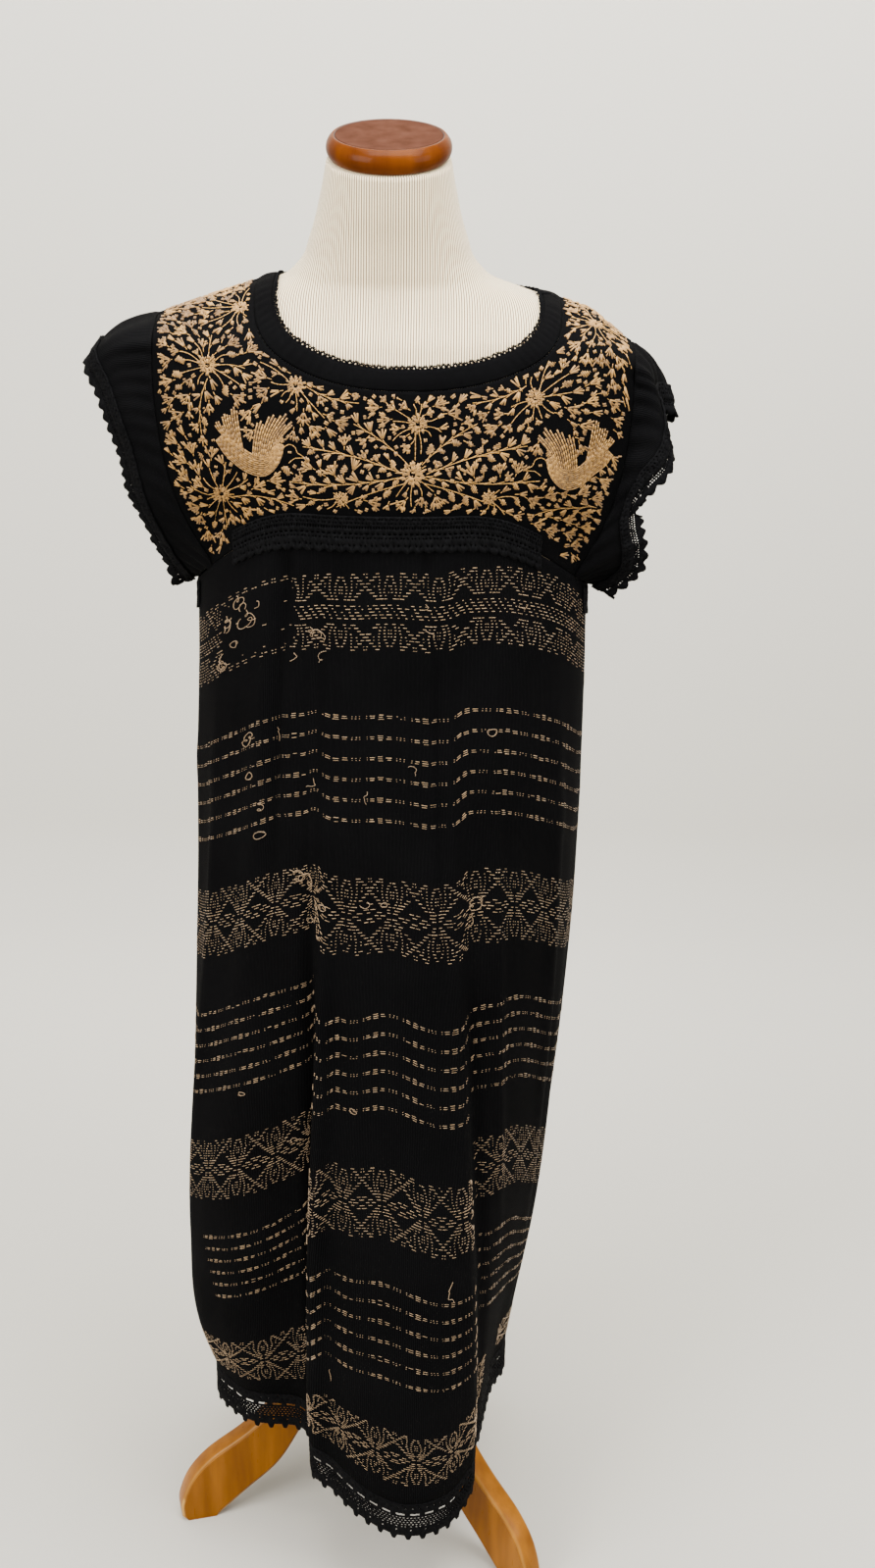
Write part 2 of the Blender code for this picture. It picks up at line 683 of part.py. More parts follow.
def chest_point(x, z, facing):
    """A point of the yoke: on the chest above, and on the skirt's wall where they are sewn."""
    seam = seam_spot(min(max(x, YOKE_CORNER_LEFT), YOKE_CORNER_RIGHT), facing)[1]
    above = z - seam[2]
    blend = smooth((SEAM_BLEND_FROM - above) / (SEAM_BLEND_FROM - SEAM_BLEND_TO))
    depth = chest_y(x, z, facing) + facing * SEAM_GAP / 2.0
    return np.array([x, depth * (1.0 - blend) + seam[1] * blend, z - shoulder_sag(x)])


def yoke_outline(k, facing):
    """Where a column of the yoke ends: down its left side, along the seam, up its right side."""
    last = NECK_COLUMNS - SIDE_COLUMNS
    if SIDE_COLUMNS <= k <= last:
        share = (k - SIDE_COLUMNS) / (last - SIDE_COLUMNS)
        x = YOKE_CORNER_LEFT + (YOKE_CORNER_RIGHT - YOKE_CORNER_LEFT) * share
        return x, seam_spot(x, facing)[1][2] + SEAM_GAP
    drop = (min(k, NECK_COLUMNS - k) / SIDE_COLUMNS) ** SIDE_CROWD
    if k < SIDE_COLUMNS:
        top, corner = YOKE_LEFT, YOKE_CORNER_LEFT
    else:
        top, corner = YOKE_RIGHT, YOKE_CORNER_RIGHT
    low = seam_spot(corner, facing)[1][2] + SEAM_GAP
    high = ridge_z(top)
    return top + (corner - top) * drop ** EDGE_BEND, high + (low - high) * drop


def yoke_grid(facing):
    """Columns spread from the neck band to the yoke's sides and the seam."""
    grid = np.zeros((YOKE_ROWS + 1, NECK_COLUMNS + 1, 3))
    for k in range(NECK_COLUMNS + 1):
        inner = np.array(neck_point(neck_turn(k), NECK_BAND + SEAM_GAP, facing))
        outer = np.array(yoke_outline(k, facing))
        for j in range(YOKE_ROWS + 1):
            x, z = inner + (outer - inner) * j / YOKE_ROWS
            if k in (0, NECK_COLUMNS):
                z = ridge_z(x)
            grid[j, k] = chest_point(x, z, facing)
    return grid


def seam_spot(x, facing):
    """The seam's angle and point at a given x, by halving."""
    low, high = (-1.5, 1.5)
    base = 0.0 if facing < 0 else math.pi
    sign = 1.0 if facing < 0 else -1.0
    for _ in range(40):
        middle = (low + high) / 2.0
        if skirt_flat(base + sign * middle)[0] < x:
            low = middle
        else:
            high = middle
    angle = base + sign * (low + high) / 2.0
    return angle, skirt_flat(angle)


def skirt_flat(angle, below=0.0):
    """The seam line, or a line a little above or below it, without the pleats."""
    fall = max(0.0, below) / (SEAM_Z - HEM_Z)
    left, right, front, back, centre_back = table_row(SKIRT, fall)
    side = left if math.sin(angle) < 0.0 else right
    depth = front if math.cos(angle) >= 0.0 else back
    radius = superellipse(angle, side, depth, SKIRT_POWER)
    return np.array([radius * math.sin(angle), -radius * math.cos(angle),
                     SEAM_Z - droop(angle) - below])


def panel_normals(grid, facing):
    """The yoke faces up along the shoulder, level at the seam, and as the band does at the neck."""
    normals = grid_normals(grid)
    middle = normals[normals.shape[0] // 2, normals.shape[1] // 2]
    if middle[1] * facing < 0.0:
        normals = -normals
    sewn = slice(SIDE_COLUMNS, NECK_COLUMNS - SIDE_COLUMNS + 1)
    normals[-1, sewn] = radial_normals(grid[-1:, sewn])[0]
    band = neck_band_grid()[1][-1]
    for k in range(NECK_COLUMNS + 1):
        match = k if facing < 0 else (2 * NECK_COLUMNS - k) % (2 * NECK_COLUMNS)
        normals[0, k] = band[match]
    normals[:, 0] = np.array([0.0, 0.0, 1.0])
    normals[:, -1] = np.array([0.0, 0.0, 1.0])
    return normals


def make_yoke(grids):
    for name, facing in (("yoke_front", -1), ("yoke_back", 1)):
        grid, normals = grids[facing]
        cloth_piece(name, grid, normals, CLOTH, BLACK_CLOTH)


def neck_ring(out):
    """Points right round the neck opening, the front from left to right and then the back."""
    ring = []
    for facing, sign in ((-1, 1.0), (1, -1.0)):
        for k in range(NECK_COLUMNS):
            turn = sign * neck_turn(k)
            x, z = neck_point(turn, out, facing)
            ring.append([x, chest_y(x, z, facing), z])
    return np.array(ring)


def neck_band_grid():
    """The band's points and normals; over the shoulders it faces straight up."""
    grid = np.array([neck_ring(NECK_BAND * share) for share in (0.0, 0.5, 1.0)])
    normals = grid_normals(grid, wraps=True)
    if normals[1, NECK_COLUMNS // 2][1] > 0.0:
        normals = -normals
    normals[:, 0] = np.array([0.0, 0.0, 1.0])
    normals[:, NECK_COLUMNS] = np.array([0.0, 0.0, 1.0])
    return grid, normals


def make_neck():
    """The plain band round the opening, and the crochet edge that stands up inside it."""
    grid, normals = neck_band_grid()
    cloth_piece("neck_band", grid, normals, CLOTH, BLACK_CLOTH, wraps=True)
    inner = grid[0]
    inward = inner - grid[1]
    inward = inward / np.linalg.norm(inward, axis=1, keepdims=True)
    low = inner + inward * SEAM_GAP
    high = inner + inward * (SEAM_GAP + PICOT_HEIGHT) + normals[0] * PICOT_LIFT
    picot = np.array([high, low])
    cloth_piece("neck_picot", picot, np.array([normals[0], normals[0]]), LACE, BLACK_LACE, wraps=True)


# ---- Sleeves ---------------------------------------------------------------
def armhole(side, grids):
    """The armhole from the back underarm over the shoulder to the front one: its points, the
    directions in which the panels it meets face, how firmly the sleeve keeps to them, and
    the place of the shoulder."""
    sewn = slice(0, SIDE_COLUMNS + 1)
    if side == "right":
        sewn = slice(None, NECK_COLUMNS - SIDE_COLUMNS - 1, -1)
    middle = -math.pi / 2.0 if side == "left" else math.pi / 2.0
    out = -1.0 if side == "left" else 1.0
    path = {}
    for facing in (-1, 1):
        grid, normals = grids[facing]
        edge = [p.copy() for p in grid[-1, sewn]]
        lines = [n.copy() for n in normals[-1, sewn]]
        angle = seam_spot(edge[-1][0], facing)[0]
        gap = (middle - angle + math.pi) % (2.0 * math.pi) - math.pi
        hold = [1.0] * len(edge)
        for k in range(1, UNDERARM_STEPS + 1):
            turn = angle + gap * FOOT_REACH * k / UNDERARM_STEPS
            spot = skirt_point(turn, 0.0)
            spot[2] += SLEEVE_SEAM + CLOTH
            edge.append(spot)
            lines.append(side_direction(turn))
            hold.append(0.0)
        path[facing] = (edge, lines, hold)
    front_edge, front_lines, front_hold = path[-1]
    back_edge, back_lines, back_hold = path[1]
    edge = np.array(back_edge[::-1][:-1] + front_edge)
    lines = np.array(back_lines[::-1][:-1] + front_lines)
    hold = np.array(back_hold[::-1][:-1] + front_hold)[:, None]
    top = len(back_edge) - 1
    edge[top, 1] = (back_edge[0][1] + front_edge[0][1]) / 2.0
    lines[top] = np.array([0.0, 0.0, 1.0])
    edge[:, 0] += out * SLEEVE_SEAM
    return edge, lines, hold, top


def sleeve_edge(side, count, top):
    """The cuff line as a slanted loop with soft flutter, from its foot round over the tip."""
    tip_x, tip_z, foot_x, foot_z, depth, wave, waves, phase = SLEEVES[side]
    tip = np.array([tip_x, NECK_BACK * 0.5, tip_z])
    foot = np.array([foot_x, 0.0, foot_z])
    middle = (tip + foot) / 2.0
    up = (tip - foot) / 2.0
    outward = np.array([up[2], 0.0, -up[0]])
    outward = outward / np.linalg.norm(outward) * math.copysign(1.0, tip_x * outward[0])
    loop = []
    for k in range(count):
        share = (k - top) / top if k <= top else (k - top) / (count - 1 - top)
        turn = math.pi * FOOT_REACH * share
        swell = wave * math.sin(waves * turn + phase) * smooth((math.pi - abs(turn)) / SLEEVE_FADE)
        spot = middle + up * math.cos(turn) + np.array([0.0, -depth * math.sin(turn), 0.0])
        loop.append(spot + outward * swell)
    return np.array(loop)


def unit_rows(values):
    return values / np.linalg.norm(values, axis=-1, keepdims=True)


def make_sleeves(grids):
    """Gathered caps from the armhole out to their edge, and the crochet lace sewn round it."""
    for side in ("left", "right"):
        edge, lines, hold, top = armhole(side, grids)
        count = len(edge)
        cuff = sleeve_edge(side, count, top)
        out = -1.0 if side == "left" else 1.0
        rise = np.array([out, 0.0, 1.0]) * SLEEVE_BELLY
        ease = np.sin(np.linspace(0.0, math.pi, count))[:, None]
        rows = []
        for j in range(SLEEVE_ROWS + 1):
            t = j / SLEEVE_ROWS
            rows.append(edge * (1.0 - t) + cuff * t + rise * math.sin(math.pi * t) * ease)
        grid = np.array(rows)
        normals = grid_normals(grid)
        if normals[SLEEVE_ROWS // 2, top][2] < 0.0:
            normals = -normals
        normals[0] = unit_rows(lines * hold + normals[0] * (1.0 - hold))
        cloth_piece("sleeve_" + side, grid, normals, CLOTH, BLACK_CLOTH)
        places = np.linspace(0, count - 1, (count - 1) * LACE_POINTS_PER_COLUMN + 1)
        base = resample(grid[-1], places)
        lead = unit_rows(resample(unit_rows(grid[-1] - grid[-2]), places))
        face = unit_rows(resample(normals[-1], places))
        start = base + lead * SLEEVE_SEAM
        end = base + lead * SLEEVE_LACE
        end[1::2] += lead[1::2] * SLEEVE_PICOT
        lace = np.array([start, end])
        cloth_piece("sleeve_lace_" + side, lace, np.array([face, face]), LACE, BLACK_LACE)


def resample(values, places):
    index = np.arange(len(values))
    return np.stack([np.interp(places, index, values[:, c]) for c in range(values.shape[1])], axis=1)


def stand_on_origin():
    """Moves every piece so that the origin is on the floor under the middle of the whole."""
    pieces = [piece for piece in bpy.data.objects if piece.type == "MESH"]
    spots = np.array([tuple(v.co) for piece in pieces for v in piece.data.vertices])
    low, high = spots.min(axis=0), spots.max(axis=0)
    move = np.array([-(low[0] + high[0]) / 2.0, -(low[1] + high[1]) / 2.0, -low[2]])
    print("moved by", move)
    for piece in pieces:
        for vertex in piece.data.vertices:
            vertex.co = [vertex.co[axis] + move[axis] for axis in range(3)]
        piece.data.update()


def main():
    clear_scene()
    make_torso()
    make_cap()
    make_pole_and_hub()
    for side, angle in LEG_ANGLES.items():
        make_leg(side, angle)
    grids = {}
    for facing in (-1, 1):
        grid = yoke_grid(facing)
        grids[facing] = (grid, panel_normals(grid, facing))
    make_yoke(grids)
    make_neck()
    make_sleeves(grids)
    make_skirt()
    make_hem_lace()
    make_chest_lace()
    make_underarm_lace()
    stand_on_origin()


main()
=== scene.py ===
# %% [markdown]
# # A huipil dress on a wooden dress form
# A imported CAD model already holds every piece of this object as a plain solid, and this
# lesson gives each one the surface of the real thing. The dress is black ribbed cotton.
# Its yoke is covered in satin stitch, its skirt has woven bands of flowers, and crochet
# edges the neck, sleeves, seam and hem. Under it stands a striped jersey form on a pole
# with three curved legs. First the fixed frame is loaded, and the pole's place is read from it.

# %% Load the fixed frame
import math

import bmesh
import bpy
import numpy as np
from mathutils import Matrix, Vector


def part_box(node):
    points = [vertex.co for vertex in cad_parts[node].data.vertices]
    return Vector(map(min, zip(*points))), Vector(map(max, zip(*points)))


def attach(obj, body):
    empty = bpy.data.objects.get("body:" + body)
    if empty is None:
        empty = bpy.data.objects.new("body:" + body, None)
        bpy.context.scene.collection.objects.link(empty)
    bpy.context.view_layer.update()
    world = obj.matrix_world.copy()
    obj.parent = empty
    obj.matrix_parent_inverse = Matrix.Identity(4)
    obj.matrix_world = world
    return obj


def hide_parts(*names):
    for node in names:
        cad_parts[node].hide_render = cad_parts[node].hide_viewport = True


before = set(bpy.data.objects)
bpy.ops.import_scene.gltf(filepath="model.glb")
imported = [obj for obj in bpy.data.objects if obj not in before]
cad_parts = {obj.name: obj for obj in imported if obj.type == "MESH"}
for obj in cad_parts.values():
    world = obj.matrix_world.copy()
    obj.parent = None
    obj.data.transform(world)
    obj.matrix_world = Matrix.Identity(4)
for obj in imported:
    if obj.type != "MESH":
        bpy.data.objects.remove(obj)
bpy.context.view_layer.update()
pole_low, pole_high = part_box("form_pole")
POLE = np.array([(pole_low[0] + pole_high[0]) / 2.0, (pole_low[1] + pole_high[1]) / 2.0, 0.0])

# %% [markdown]
# ## The sizes of the dress and its form
# The same driving sizes as the solids', in metres, measured from the pole. A table holds
# one section of the body or the cloth in each row, and the surfaces are worked out from
# them, so a fine mesh made here lies where the plain solid was.

# %% Sizes
CLOTH = 0.0015
LACE = 0.0012
SEAM_GAP = 0.0003
LAID_GAP = 0.0005
CAP_RADIUS, CAP_DEPTH_RATIO, CAP_THICKNESS, CAP_BASE_Z = 0.057, 0.94, 0.022, 1.5045
CAP_TILT = math.radians(8.0)
NECK_BACK, NECK_BACK_FROM, NECK_BACK_RISE = 0.015, 1.30, 0.12
LEAN_FROM, LEAN_RISE = 1.41, 0.08
SHOULDER_TOP, SHOULDER_SLOPE, SHOULDER_EDGE_Z = 1.4347, 0.344, 1.354
POLE_RADIUS, HUB_RADIUS, HUB_BOTTOM, HUB_TOP = 0.0125, 0.030, 0.205, 0.325
LEG_THICKNESS = 0.024
LEG_ANGLES = {"left": -75.0, "right": 45.0, "back": 165.0}
NECK_SHIFT, NECK_HALF, NECK_FRONT_Z, NECK_BACK_Z, NECK_POWER = 0.019, 0.123, 1.339, 1.377, 2.5
NECK_BAND, PICOT_HEIGHT, PICOT_LIFT = 0.016, 0.0045, 0.0008
YOKE_LEFT, YOKE_RIGHT, YOKE_CORNER_LEFT, YOKE_CORNER_RIGHT = -0.2115, 0.2250, -0.160, 0.176
EDGE_BEND = 2.6
SEAM_BLEND_FROM, SEAM_BLEND_TO = 0.090, 0.030
SHOULDER_SAG, SHOULDER_SAG_FROM, SHOULDER_SAG_SPAN = 0.016, 0.180, 0.050
NECK_COLUMNS, NECK_CROWD, SIDE_COLUMNS, SIDE_CROWD = 36, 1.35, 8, 1.5
SEAM_Z, SEAM_DROOP, DROOP_FROM, DROOP_POWER = 1.197, 0.082, 28.0, 1.4
HEM_Z, HEM_LIFT, LOBE_ANGLE = 0.148, 0.042, 11.0
LOBE_FLAT, LOBE_REACH_LEFT, LOBE_REACH_RIGHT = 5.0, 34.0, 22.0
PANEL_LENGTH = SEAM_Z - HEM_Z
FOLD_FULL, BACK_FOLLOW = 1.05, 0.35
HEM_LACE, HEM_PICOT, HEM_REPEATS = 0.046, 0.006, 76
CHEST_LACE_UP, CHEST_LACE_DOWN, CHEST_LACE_ANGLE = 0.018, 0.016, 57.0
SLEEVE_BELLY, SLEEVE_FADE, SLEEVE_SEAM, UNDERARM_STEPS, FOOT_REACH = 0.006, 0.6, 3.0 * SEAM_GAP, 4, 0.940
SLEEVE_LACE, SLEEVE_PICOT = 0.014, 0.004
TAU, MM, LEVEL = 2.0 * math.pi, 0.001, np.array([1.0, 1.0, 0.0])

# %% Sections of the body and the cloth
TORSO_POWER = CHEST_POWER = 2.2
SKIRT_POWER = 2.3
TORSO = [
    # z,     side,  front, back
    (0.760, 0.150, 0.100, 0.104),
    (0.772, 0.164, 0.110, 0.116),
    (0.830, 0.168, 0.112, 0.122),
    (0.900, 0.156, 0.106, 0.112),
    (0.980, 0.134, 0.096, 0.090),
    (1.040, 0.137, 0.100, 0.090),
    (1.100, 0.150, 0.112, 0.096),
    (1.150, 0.158, 0.1195, 0.100),
    (1.200, 0.163, 0.1180, 0.103),
    (1.260, 0.174, 0.110, 0.104),
    (1.310, 0.184, 0.101, 0.098),
    (1.343, 0.188, 0.092, 0.088),
    (1.360, 0.186, 0.084, 0.078),
    (1.371, 0.1760, 0.0730, 0.0660),
    (1.380, 0.1540, 0.0655, 0.0585),
    (1.389, 0.1278, 0.0595, 0.0525),
    (1.399, 0.0990, 0.0550, 0.0485),
    (1.412, 0.083, 0.0545, 0.0500),
    (1.438, 0.0715, 0.0530, 0.0500),
    (1.472, 0.0625, 0.0540, 0.0530),
    (1.5041, 0.0565, 0.0530, 0.0530),
]
CHEST = [
    # z,     side,  front, back
    (1.100, 0.196, 0.1250, 0.112),
    (1.160, 0.204, 0.1255, 0.112),
    (1.200, 0.2195, 0.1250, 0.112),
    (1.250, 0.2305, 0.1190, 0.110),
    (1.300, 0.2350, 0.1105, 0.105),
    (1.335, 0.2365, 0.1000, 0.0960),
    (1.354, 0.2346, 0.0910, 0.0870),
    (1.371, 0.1852, 0.0800, 0.0745),
    (1.380, 0.1590, 0.0725, 0.0670),
    (1.389, 0.1328, 0.0665, 0.0605),
    (1.399, 0.1038, 0.0615, 0.0555),
]
SKIRT = [
    # fall, left,  right, front, back,  centre_back
    (0.00, 0.1790, 0.1900, 0.1250, 0.1130, 0.000),
    (0.10, 0.1810, 0.1920, 0.1280, 0.1180, 0.000),
    (0.34, 0.1860, 0.1880, 0.1420, 0.1300, 0.004),
    (0.58, 0.1990, 0.1770, 0.1540, 0.1360, 0.016),
    (0.80, 0.2030, 0.1600, 0.1640, 0.1360, 0.036),
    (0.93, 0.1960, 0.1420, 0.1680, 0.1300, 0.050),
    (1.00, 0.1760, 0.1330, 0.1680, 0.1240, 0.058),
]
FOLDS = [
    # name,          angle,  out,    before, after, start
    ("back_middle",  -178.0, 0.020,  16.0, 16.0, 0.30),
    ("back_left",    -142.0, -0.016, 16.0, 14.0, 0.35),
    ("side_left",    -112.0, 0.014,  14.0, 14.0, 0.25),
    ("left_panel",   -66.0,  0.018,  12.0,  9.0, 0.30),
    ("left_valley",  -31.0,  -0.050, 11.0, 13.0, 0.16),
    ("front_lobe",    12.0,  0.038,  15.0, 15.0, 0.20),
    ("right_valley",  52.0,  -0.010, 14.0, 14.0, 0.14),
    ("right_panel",   80.0,  0.006,  11.0, 13.0, 0.30),
    ("side_right",    98.0,  -0.008, 14.0, 14.0, 0.35),
    ("back_right",   128.0,  0.018,  16.0, 16.0, 0.30),
    ("back_tuck",    154.0,  -0.012, 12.0, 12.0, 0.35),
]
PLEATS = [
    # name,       angle,  depth,  half,  fades
    ("left",      -38.0,  0.0085, 5.0,  0.16),
    ("right",      18.0,  0.0040, 4.5,  0.10),
    ("back_left", -148.0, 0.0060, 5.0,  0.14),
    ("back_right", 148.0, 0.0060, 5.0,  0.14),
]
SLEEVES = {
    # side:   tip_x,  tip_z, foot_x, foot_z, depth, wave,  waves, phase
    "left":  (-0.270, 1.332, -0.190, 1.111, 0.050, 0.003, 4.0, 0.4),
    "right": (0.258, 1.292, 0.208, 1.106, 0.056, 0.0105, 4.8, 3.67),
}
LEG_UPPER = [(0.0305, 0.300), (0.058, 0.272), (0.088, 0.213), (0.112, 0.168), (0.136, 0.134),
             (0.166, 0.108), (0.203, 0.083), (0.226, 0.057), (0.238, 0.026), (0.238, 0.006)]
LEG_LOWER = [(0.198, 0.000), (0.162, 0.031), (0.126, 0.062), (0.100, 0.104), (0.076, 0.150),
             (0.055, 0.188), (0.0305, 0.216)]
print("sections:", len(TORSO), "body,", len(CHEST), "chest,", len(SKIRT), "skirt")

# %% [markdown]
# ## Small tools for smooth surfaces
# A surface here is a grid of points that numpy works out in one go. `table_at` reads a
# table on a smooth curve through its rows, `finer` puts extra points between those of a
# coarse grid on the same kind of curve, and `grid_normals` gives the way out of it.

# %% Curves and grids
def smooth(x):
    x = np.clip(x, 0.0, 1.0)
    return x * x * (3.0 - 2.0 * x)


def table_at(table, keys):
    """The table's columns at the keys, on a smooth curve through its rows."""
    rows = np.array(table, float)
    knots, values = rows[:, 0], rows[:, 1:]
    slopes = np.gradient(values, knots, axis=0)
    keys = np.clip(np.asarray(keys, float), knots[0], knots[-1])
    low = np.clip(np.searchsorted(knots, keys, side="right") - 1, 0, len(knots) - 2)
    step = (knots[low + 1] - knots[low])[..., None]
    t = (keys[..., None] - knots[low][..., None]) / step
    found = (values[low] * (1 + 2 * t) * (1 - t) ** 2 + slopes[low] * step * t * (1 - t) ** 2
             + values[low + 1] * t * t * (3 - 2 * t) + slopes[low + 1] * step * t * t * (t - 1))
    return np.moveaxis(found, -1, 0)


def superellipse(angle, side, depth, power):
    across = np.abs(np.sin(angle)) / side
    along = np.abs(np.cos(angle)) / depth
    return (across ** power + along ** power) ** (-1.0 / power)


def degrees_past(angle, centre):
    return (np.degrees(angle) - centre + 180.0) % 360.0 - 180.0


def unit(vectors):
    return vectors / np.maximum(np.linalg.norm(vectors, axis=-1, keepdims=True), 1e-12)


def length_run(path):
    """The length run so far at each point of a path, from 0 at its start."""
    return np.concatenate([[0.0], np.cumsum(np.linalg.norm(np.diff(path, axis=0), axis=1))])


def finer(grid, rows, columns):
    """A grid with more points between its own, on Catmull-Rom curves both ways."""
    for axis, steps in ((0, rows), (1, columns)):
        if steps == 1:
            continue
        spots = np.moveaxis(grid, axis, 0)
        spots = np.concatenate([2 * spots[:1] - spots[1:2], spots, 2 * spots[-1:] - spots[-2:-1]])
        p0, p1, p2, p3 = spots[:-3], spots[1:-2], spots[2:-1], spots[3:]
        fine = []
        for t in np.arange(steps) / steps:
            fine.append(0.5 * (2 * p1 + (p2 - p0) * t + (2 * p0 - 5 * p1 + 4 * p2 - p3) * t * t
                               + (3 * p1 - p0 - 3 * p2 + p3) * t ** 3))
        fine = np.stack(fine, axis=1).reshape((-1,) + spots.shape[1:])
        grid = np.moveaxis(np.concatenate([fine, spots[-2:-1]]), 0, axis)
    return grid


def grid_normals(grid, wraps=False):
    if wraps:
        along = np.roll(grid, -1, axis=1) - np.roll(grid, 1, axis=1)
    else:
        along = np.gradient(grid, axis=1)
    return unit(np.cross(np.gradient(grid, axis=0), along))


print("tools ready; smooth(0.25) =", float(smooth(0.25)))

# %% [markdown]
# ## From arrays to meshes
# Blender fills a mesh fastest from flat arrays, through `foreach_set`. `add_mesh` does that
# for one list of points and several lists of faces, moves them from the pole's place to the
# frame's, and lets the new piece ride on the object's one body. `wall` closes a grid into a
# thin sheet with two faces and a rim, as real cloth has, and lays UVs on it in metres, so
# that a weave has its true scale.

# %% Mesh makers
def new_object(name, data):
    """An object in the scene for a mesh, a lamp or a camera."""
    item = bpy.data.objects.new(name, data)
    bpy.context.scene.collection.objects.link(item)
    return item


def add_mesh(name, points, face_lists, finish, uv=None, values=None):
    """A piece of the object from points and faces; uv is one pair for each face corner."""
    mesh = bpy.data.meshes.new(name)
    points = np.asarray(points, float).reshape(-1, 3) + POLE
    mesh.vertices.add(len(points))
    mesh.vertices.foreach_set("co", points.ravel())
    corners = np.concatenate([faces.ravel() for faces in face_lists])
    sizes = np.concatenate([np.full(len(faces), faces.shape[1]) for faces in face_lists])
    mesh.loops.add(len(corners))
    mesh.loops.foreach_set("vertex_index", corners.astype(np.int32))
    mesh.polygons.add(len(sizes))
    mesh.polygons.foreach_set("loop_start", (np.cumsum(sizes) - sizes).astype(np.int32))
    mesh.update(calc_edges=True)
    if uv is not None:
        mesh.uv_layers.new(name="UVMap").data.foreach_set("uv", uv.ravel())
    for key, numbers in (values or {}).items():
        mesh.attributes.new(key, "FLOAT", "POINT").data.foreach_set("value", numbers)
    mesh.shade_smooth()
    mesh.materials.append(finish)
    piece = new_object(name, mesh)
    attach(piece, "root")
    return piece


def cells(rows, columns, wraps=False):
    """Corner indexes of a grid's quads as (row, column) pairs, four to a quad."""
    j, i = np.mgrid[0:rows - 1, 0:columns if wraps else columns - 1]
    j, i = j.ravel(), i.ravel()
    return np.stack([j, j + 1, j + 1, j], axis=1), np.stack([i, i, i + 1, i + 1], axis=1)


def wall(name, grid, thick, finish, uv, wraps=False, about=(0.0, 0.0, None)):
    """A closed sheet: its inner face is the grid, and its outer face stands out from it."""
    rows, columns = grid.shape[:2]
    normals = grid_normals(grid, wraps)
    level = about[2] is None
    centre = np.array([about[0], about[1], grid[..., 2].mean() if level else about[2]])
    outward = np.sum(normals * (grid - centre) * (LEVEL if level else 1.0)) > 0.0
    points = np.concatenate([(grid + normals * (thick if outward else -thick)).reshape(-1, 3),
                             grid.reshape(-1, 3)])
    count, wide = rows * columns, uv.shape[1]
    j, i = cells(rows, columns, wraps)
    vertex, corner = j * columns + i % columns, j * wide + i
    faces, places = [vertex, vertex[:, ::-1] + count], [corner, corner[:, ::-1]]
    across, down = np.arange(columns if wraps else columns - 1), np.arange(rows - 1)
    rims = [(row * columns + across, row * columns + (across + 1) % columns, row * wide + across, 1, flip)
            for row, flip in ((0, False), (rows - 1, True))]
    if not wraps:
        rims += [(down * columns + column, (down + 1) * columns + column, down * wide + column, wide, flip)
                 for column, flip in ((0, True), (columns - 1, False))]
    for a, b, spot, step, flip in rims:
        rim = np.stack([a, b, b + count, a + count], axis=1)
        spots = np.stack([spot, spot + step, spot + step, spot], axis=1)
        faces.append(rim[:, ::-1] if flip else rim)
        places.append(spots[:, ::-1] if flip else spots)
    if not outward:
        faces, places = ([quads[:, ::-1] for quads in group] for group in (faces, places))
    order = np.concatenate([quads.ravel() for quads in places])
    return add_mesh(name, points, faces, finish, uv.reshape(-1, 2)[order])


def metres_of(grid, wraps=False):
    """UVs in metres for a grid: along its middle row, and down its middle column."""
    closed = np.concatenate([grid, grid[:, :1]], axis=1) if wraps else grid
    rows, columns = closed.shape[:2]
    u, v = length_run(closed[rows // 2]), -length_run(closed[:, columns // 2])
    return np.stack(np.meshgrid(u, v), axis=-1)


print("mesh makers ready; the pole stands at", [round(float(c), 4) for c in POLE[:2]])

# %% [markdown]
# ## Floor, camera and light
# The camera stands two metres in front and looks down a little through a long, upright
# lens. The floor runs back, turns up in a soft cove and climbs behind the dress as a pale
# wall. Daylight in a room is wide and soft, so the light is one big panel on each side, one
# above, one for the wall, and a pale sky. Seen from behind, the wall lets the view through,
# so the dress can be looked at all round, and a second floor carries on beyond it.

# %% Floor, camera and lamps
def principled(name, colour, roughness, **sockets):
    """A material with a Principled shader, its node tree and the shader itself."""
    finish = bpy.data.materials.new(name)
    finish.use_nodes = True
    tree = finish.node_tree
    shader = tree.nodes["Principled BSDF"]
    for socket, value in {"Base Color": (*colour, 1.0), "Roughness": roughness, **sockets}.items():
        shader.inputs[socket.replace("_", " ")].default_value = value
    return finish, tree, shader


BACKDROP_WIDE = 40.0
BACKDROP = [(-40.0, 0.0), (0.62, 0.0), (0.80, 0.02), (0.93, 0.08), (1.02, 0.19), (1.05, 0.34), (1.05, 4.5)]
BEYOND = [(0.62, -0.001), (40.0, -0.001)]
floor_mesh = bpy.data.meshes.new("studio_floor")
floor_mesh.from_pydata([(side * BACKDROP_WIDE, y, z) for y, z in BACKDROP + BEYOND for side in (-1, 1)], [],
                       [(2 * k, 2 * k + 1, 2 * k + 3, 2 * k + 2) for k in range(len(BACKDROP) + 1)
                        if k != len(BACKDROP) - 1])
floor_mesh.polygons.foreach_set("use_smooth", [True] * len(floor_mesh.polygons))
pale_floor, tree, shader = principled("pale_floor", (0.50, 0.48, 0.43), 0.9)
one_sided = tree.nodes.new("ShaderNodeMixShader")
for feed, target in ((tree.nodes.new("ShaderNodeNewGeometry").outputs["Backfacing"], one_sided.inputs[0]),
                     (shader.outputs["BSDF"], one_sided.inputs[1]),
                     (tree.nodes.new("ShaderNodeBsdfTransparent").outputs[0], one_sided.inputs[2]),
                     (one_sided.outputs[0], tree.nodes["Material Output"].inputs["Surface"])):
    tree.links.new(feed, target)
floor_mesh.materials.append(pale_floor)
floor = new_object("studio_floor", floor_mesh)

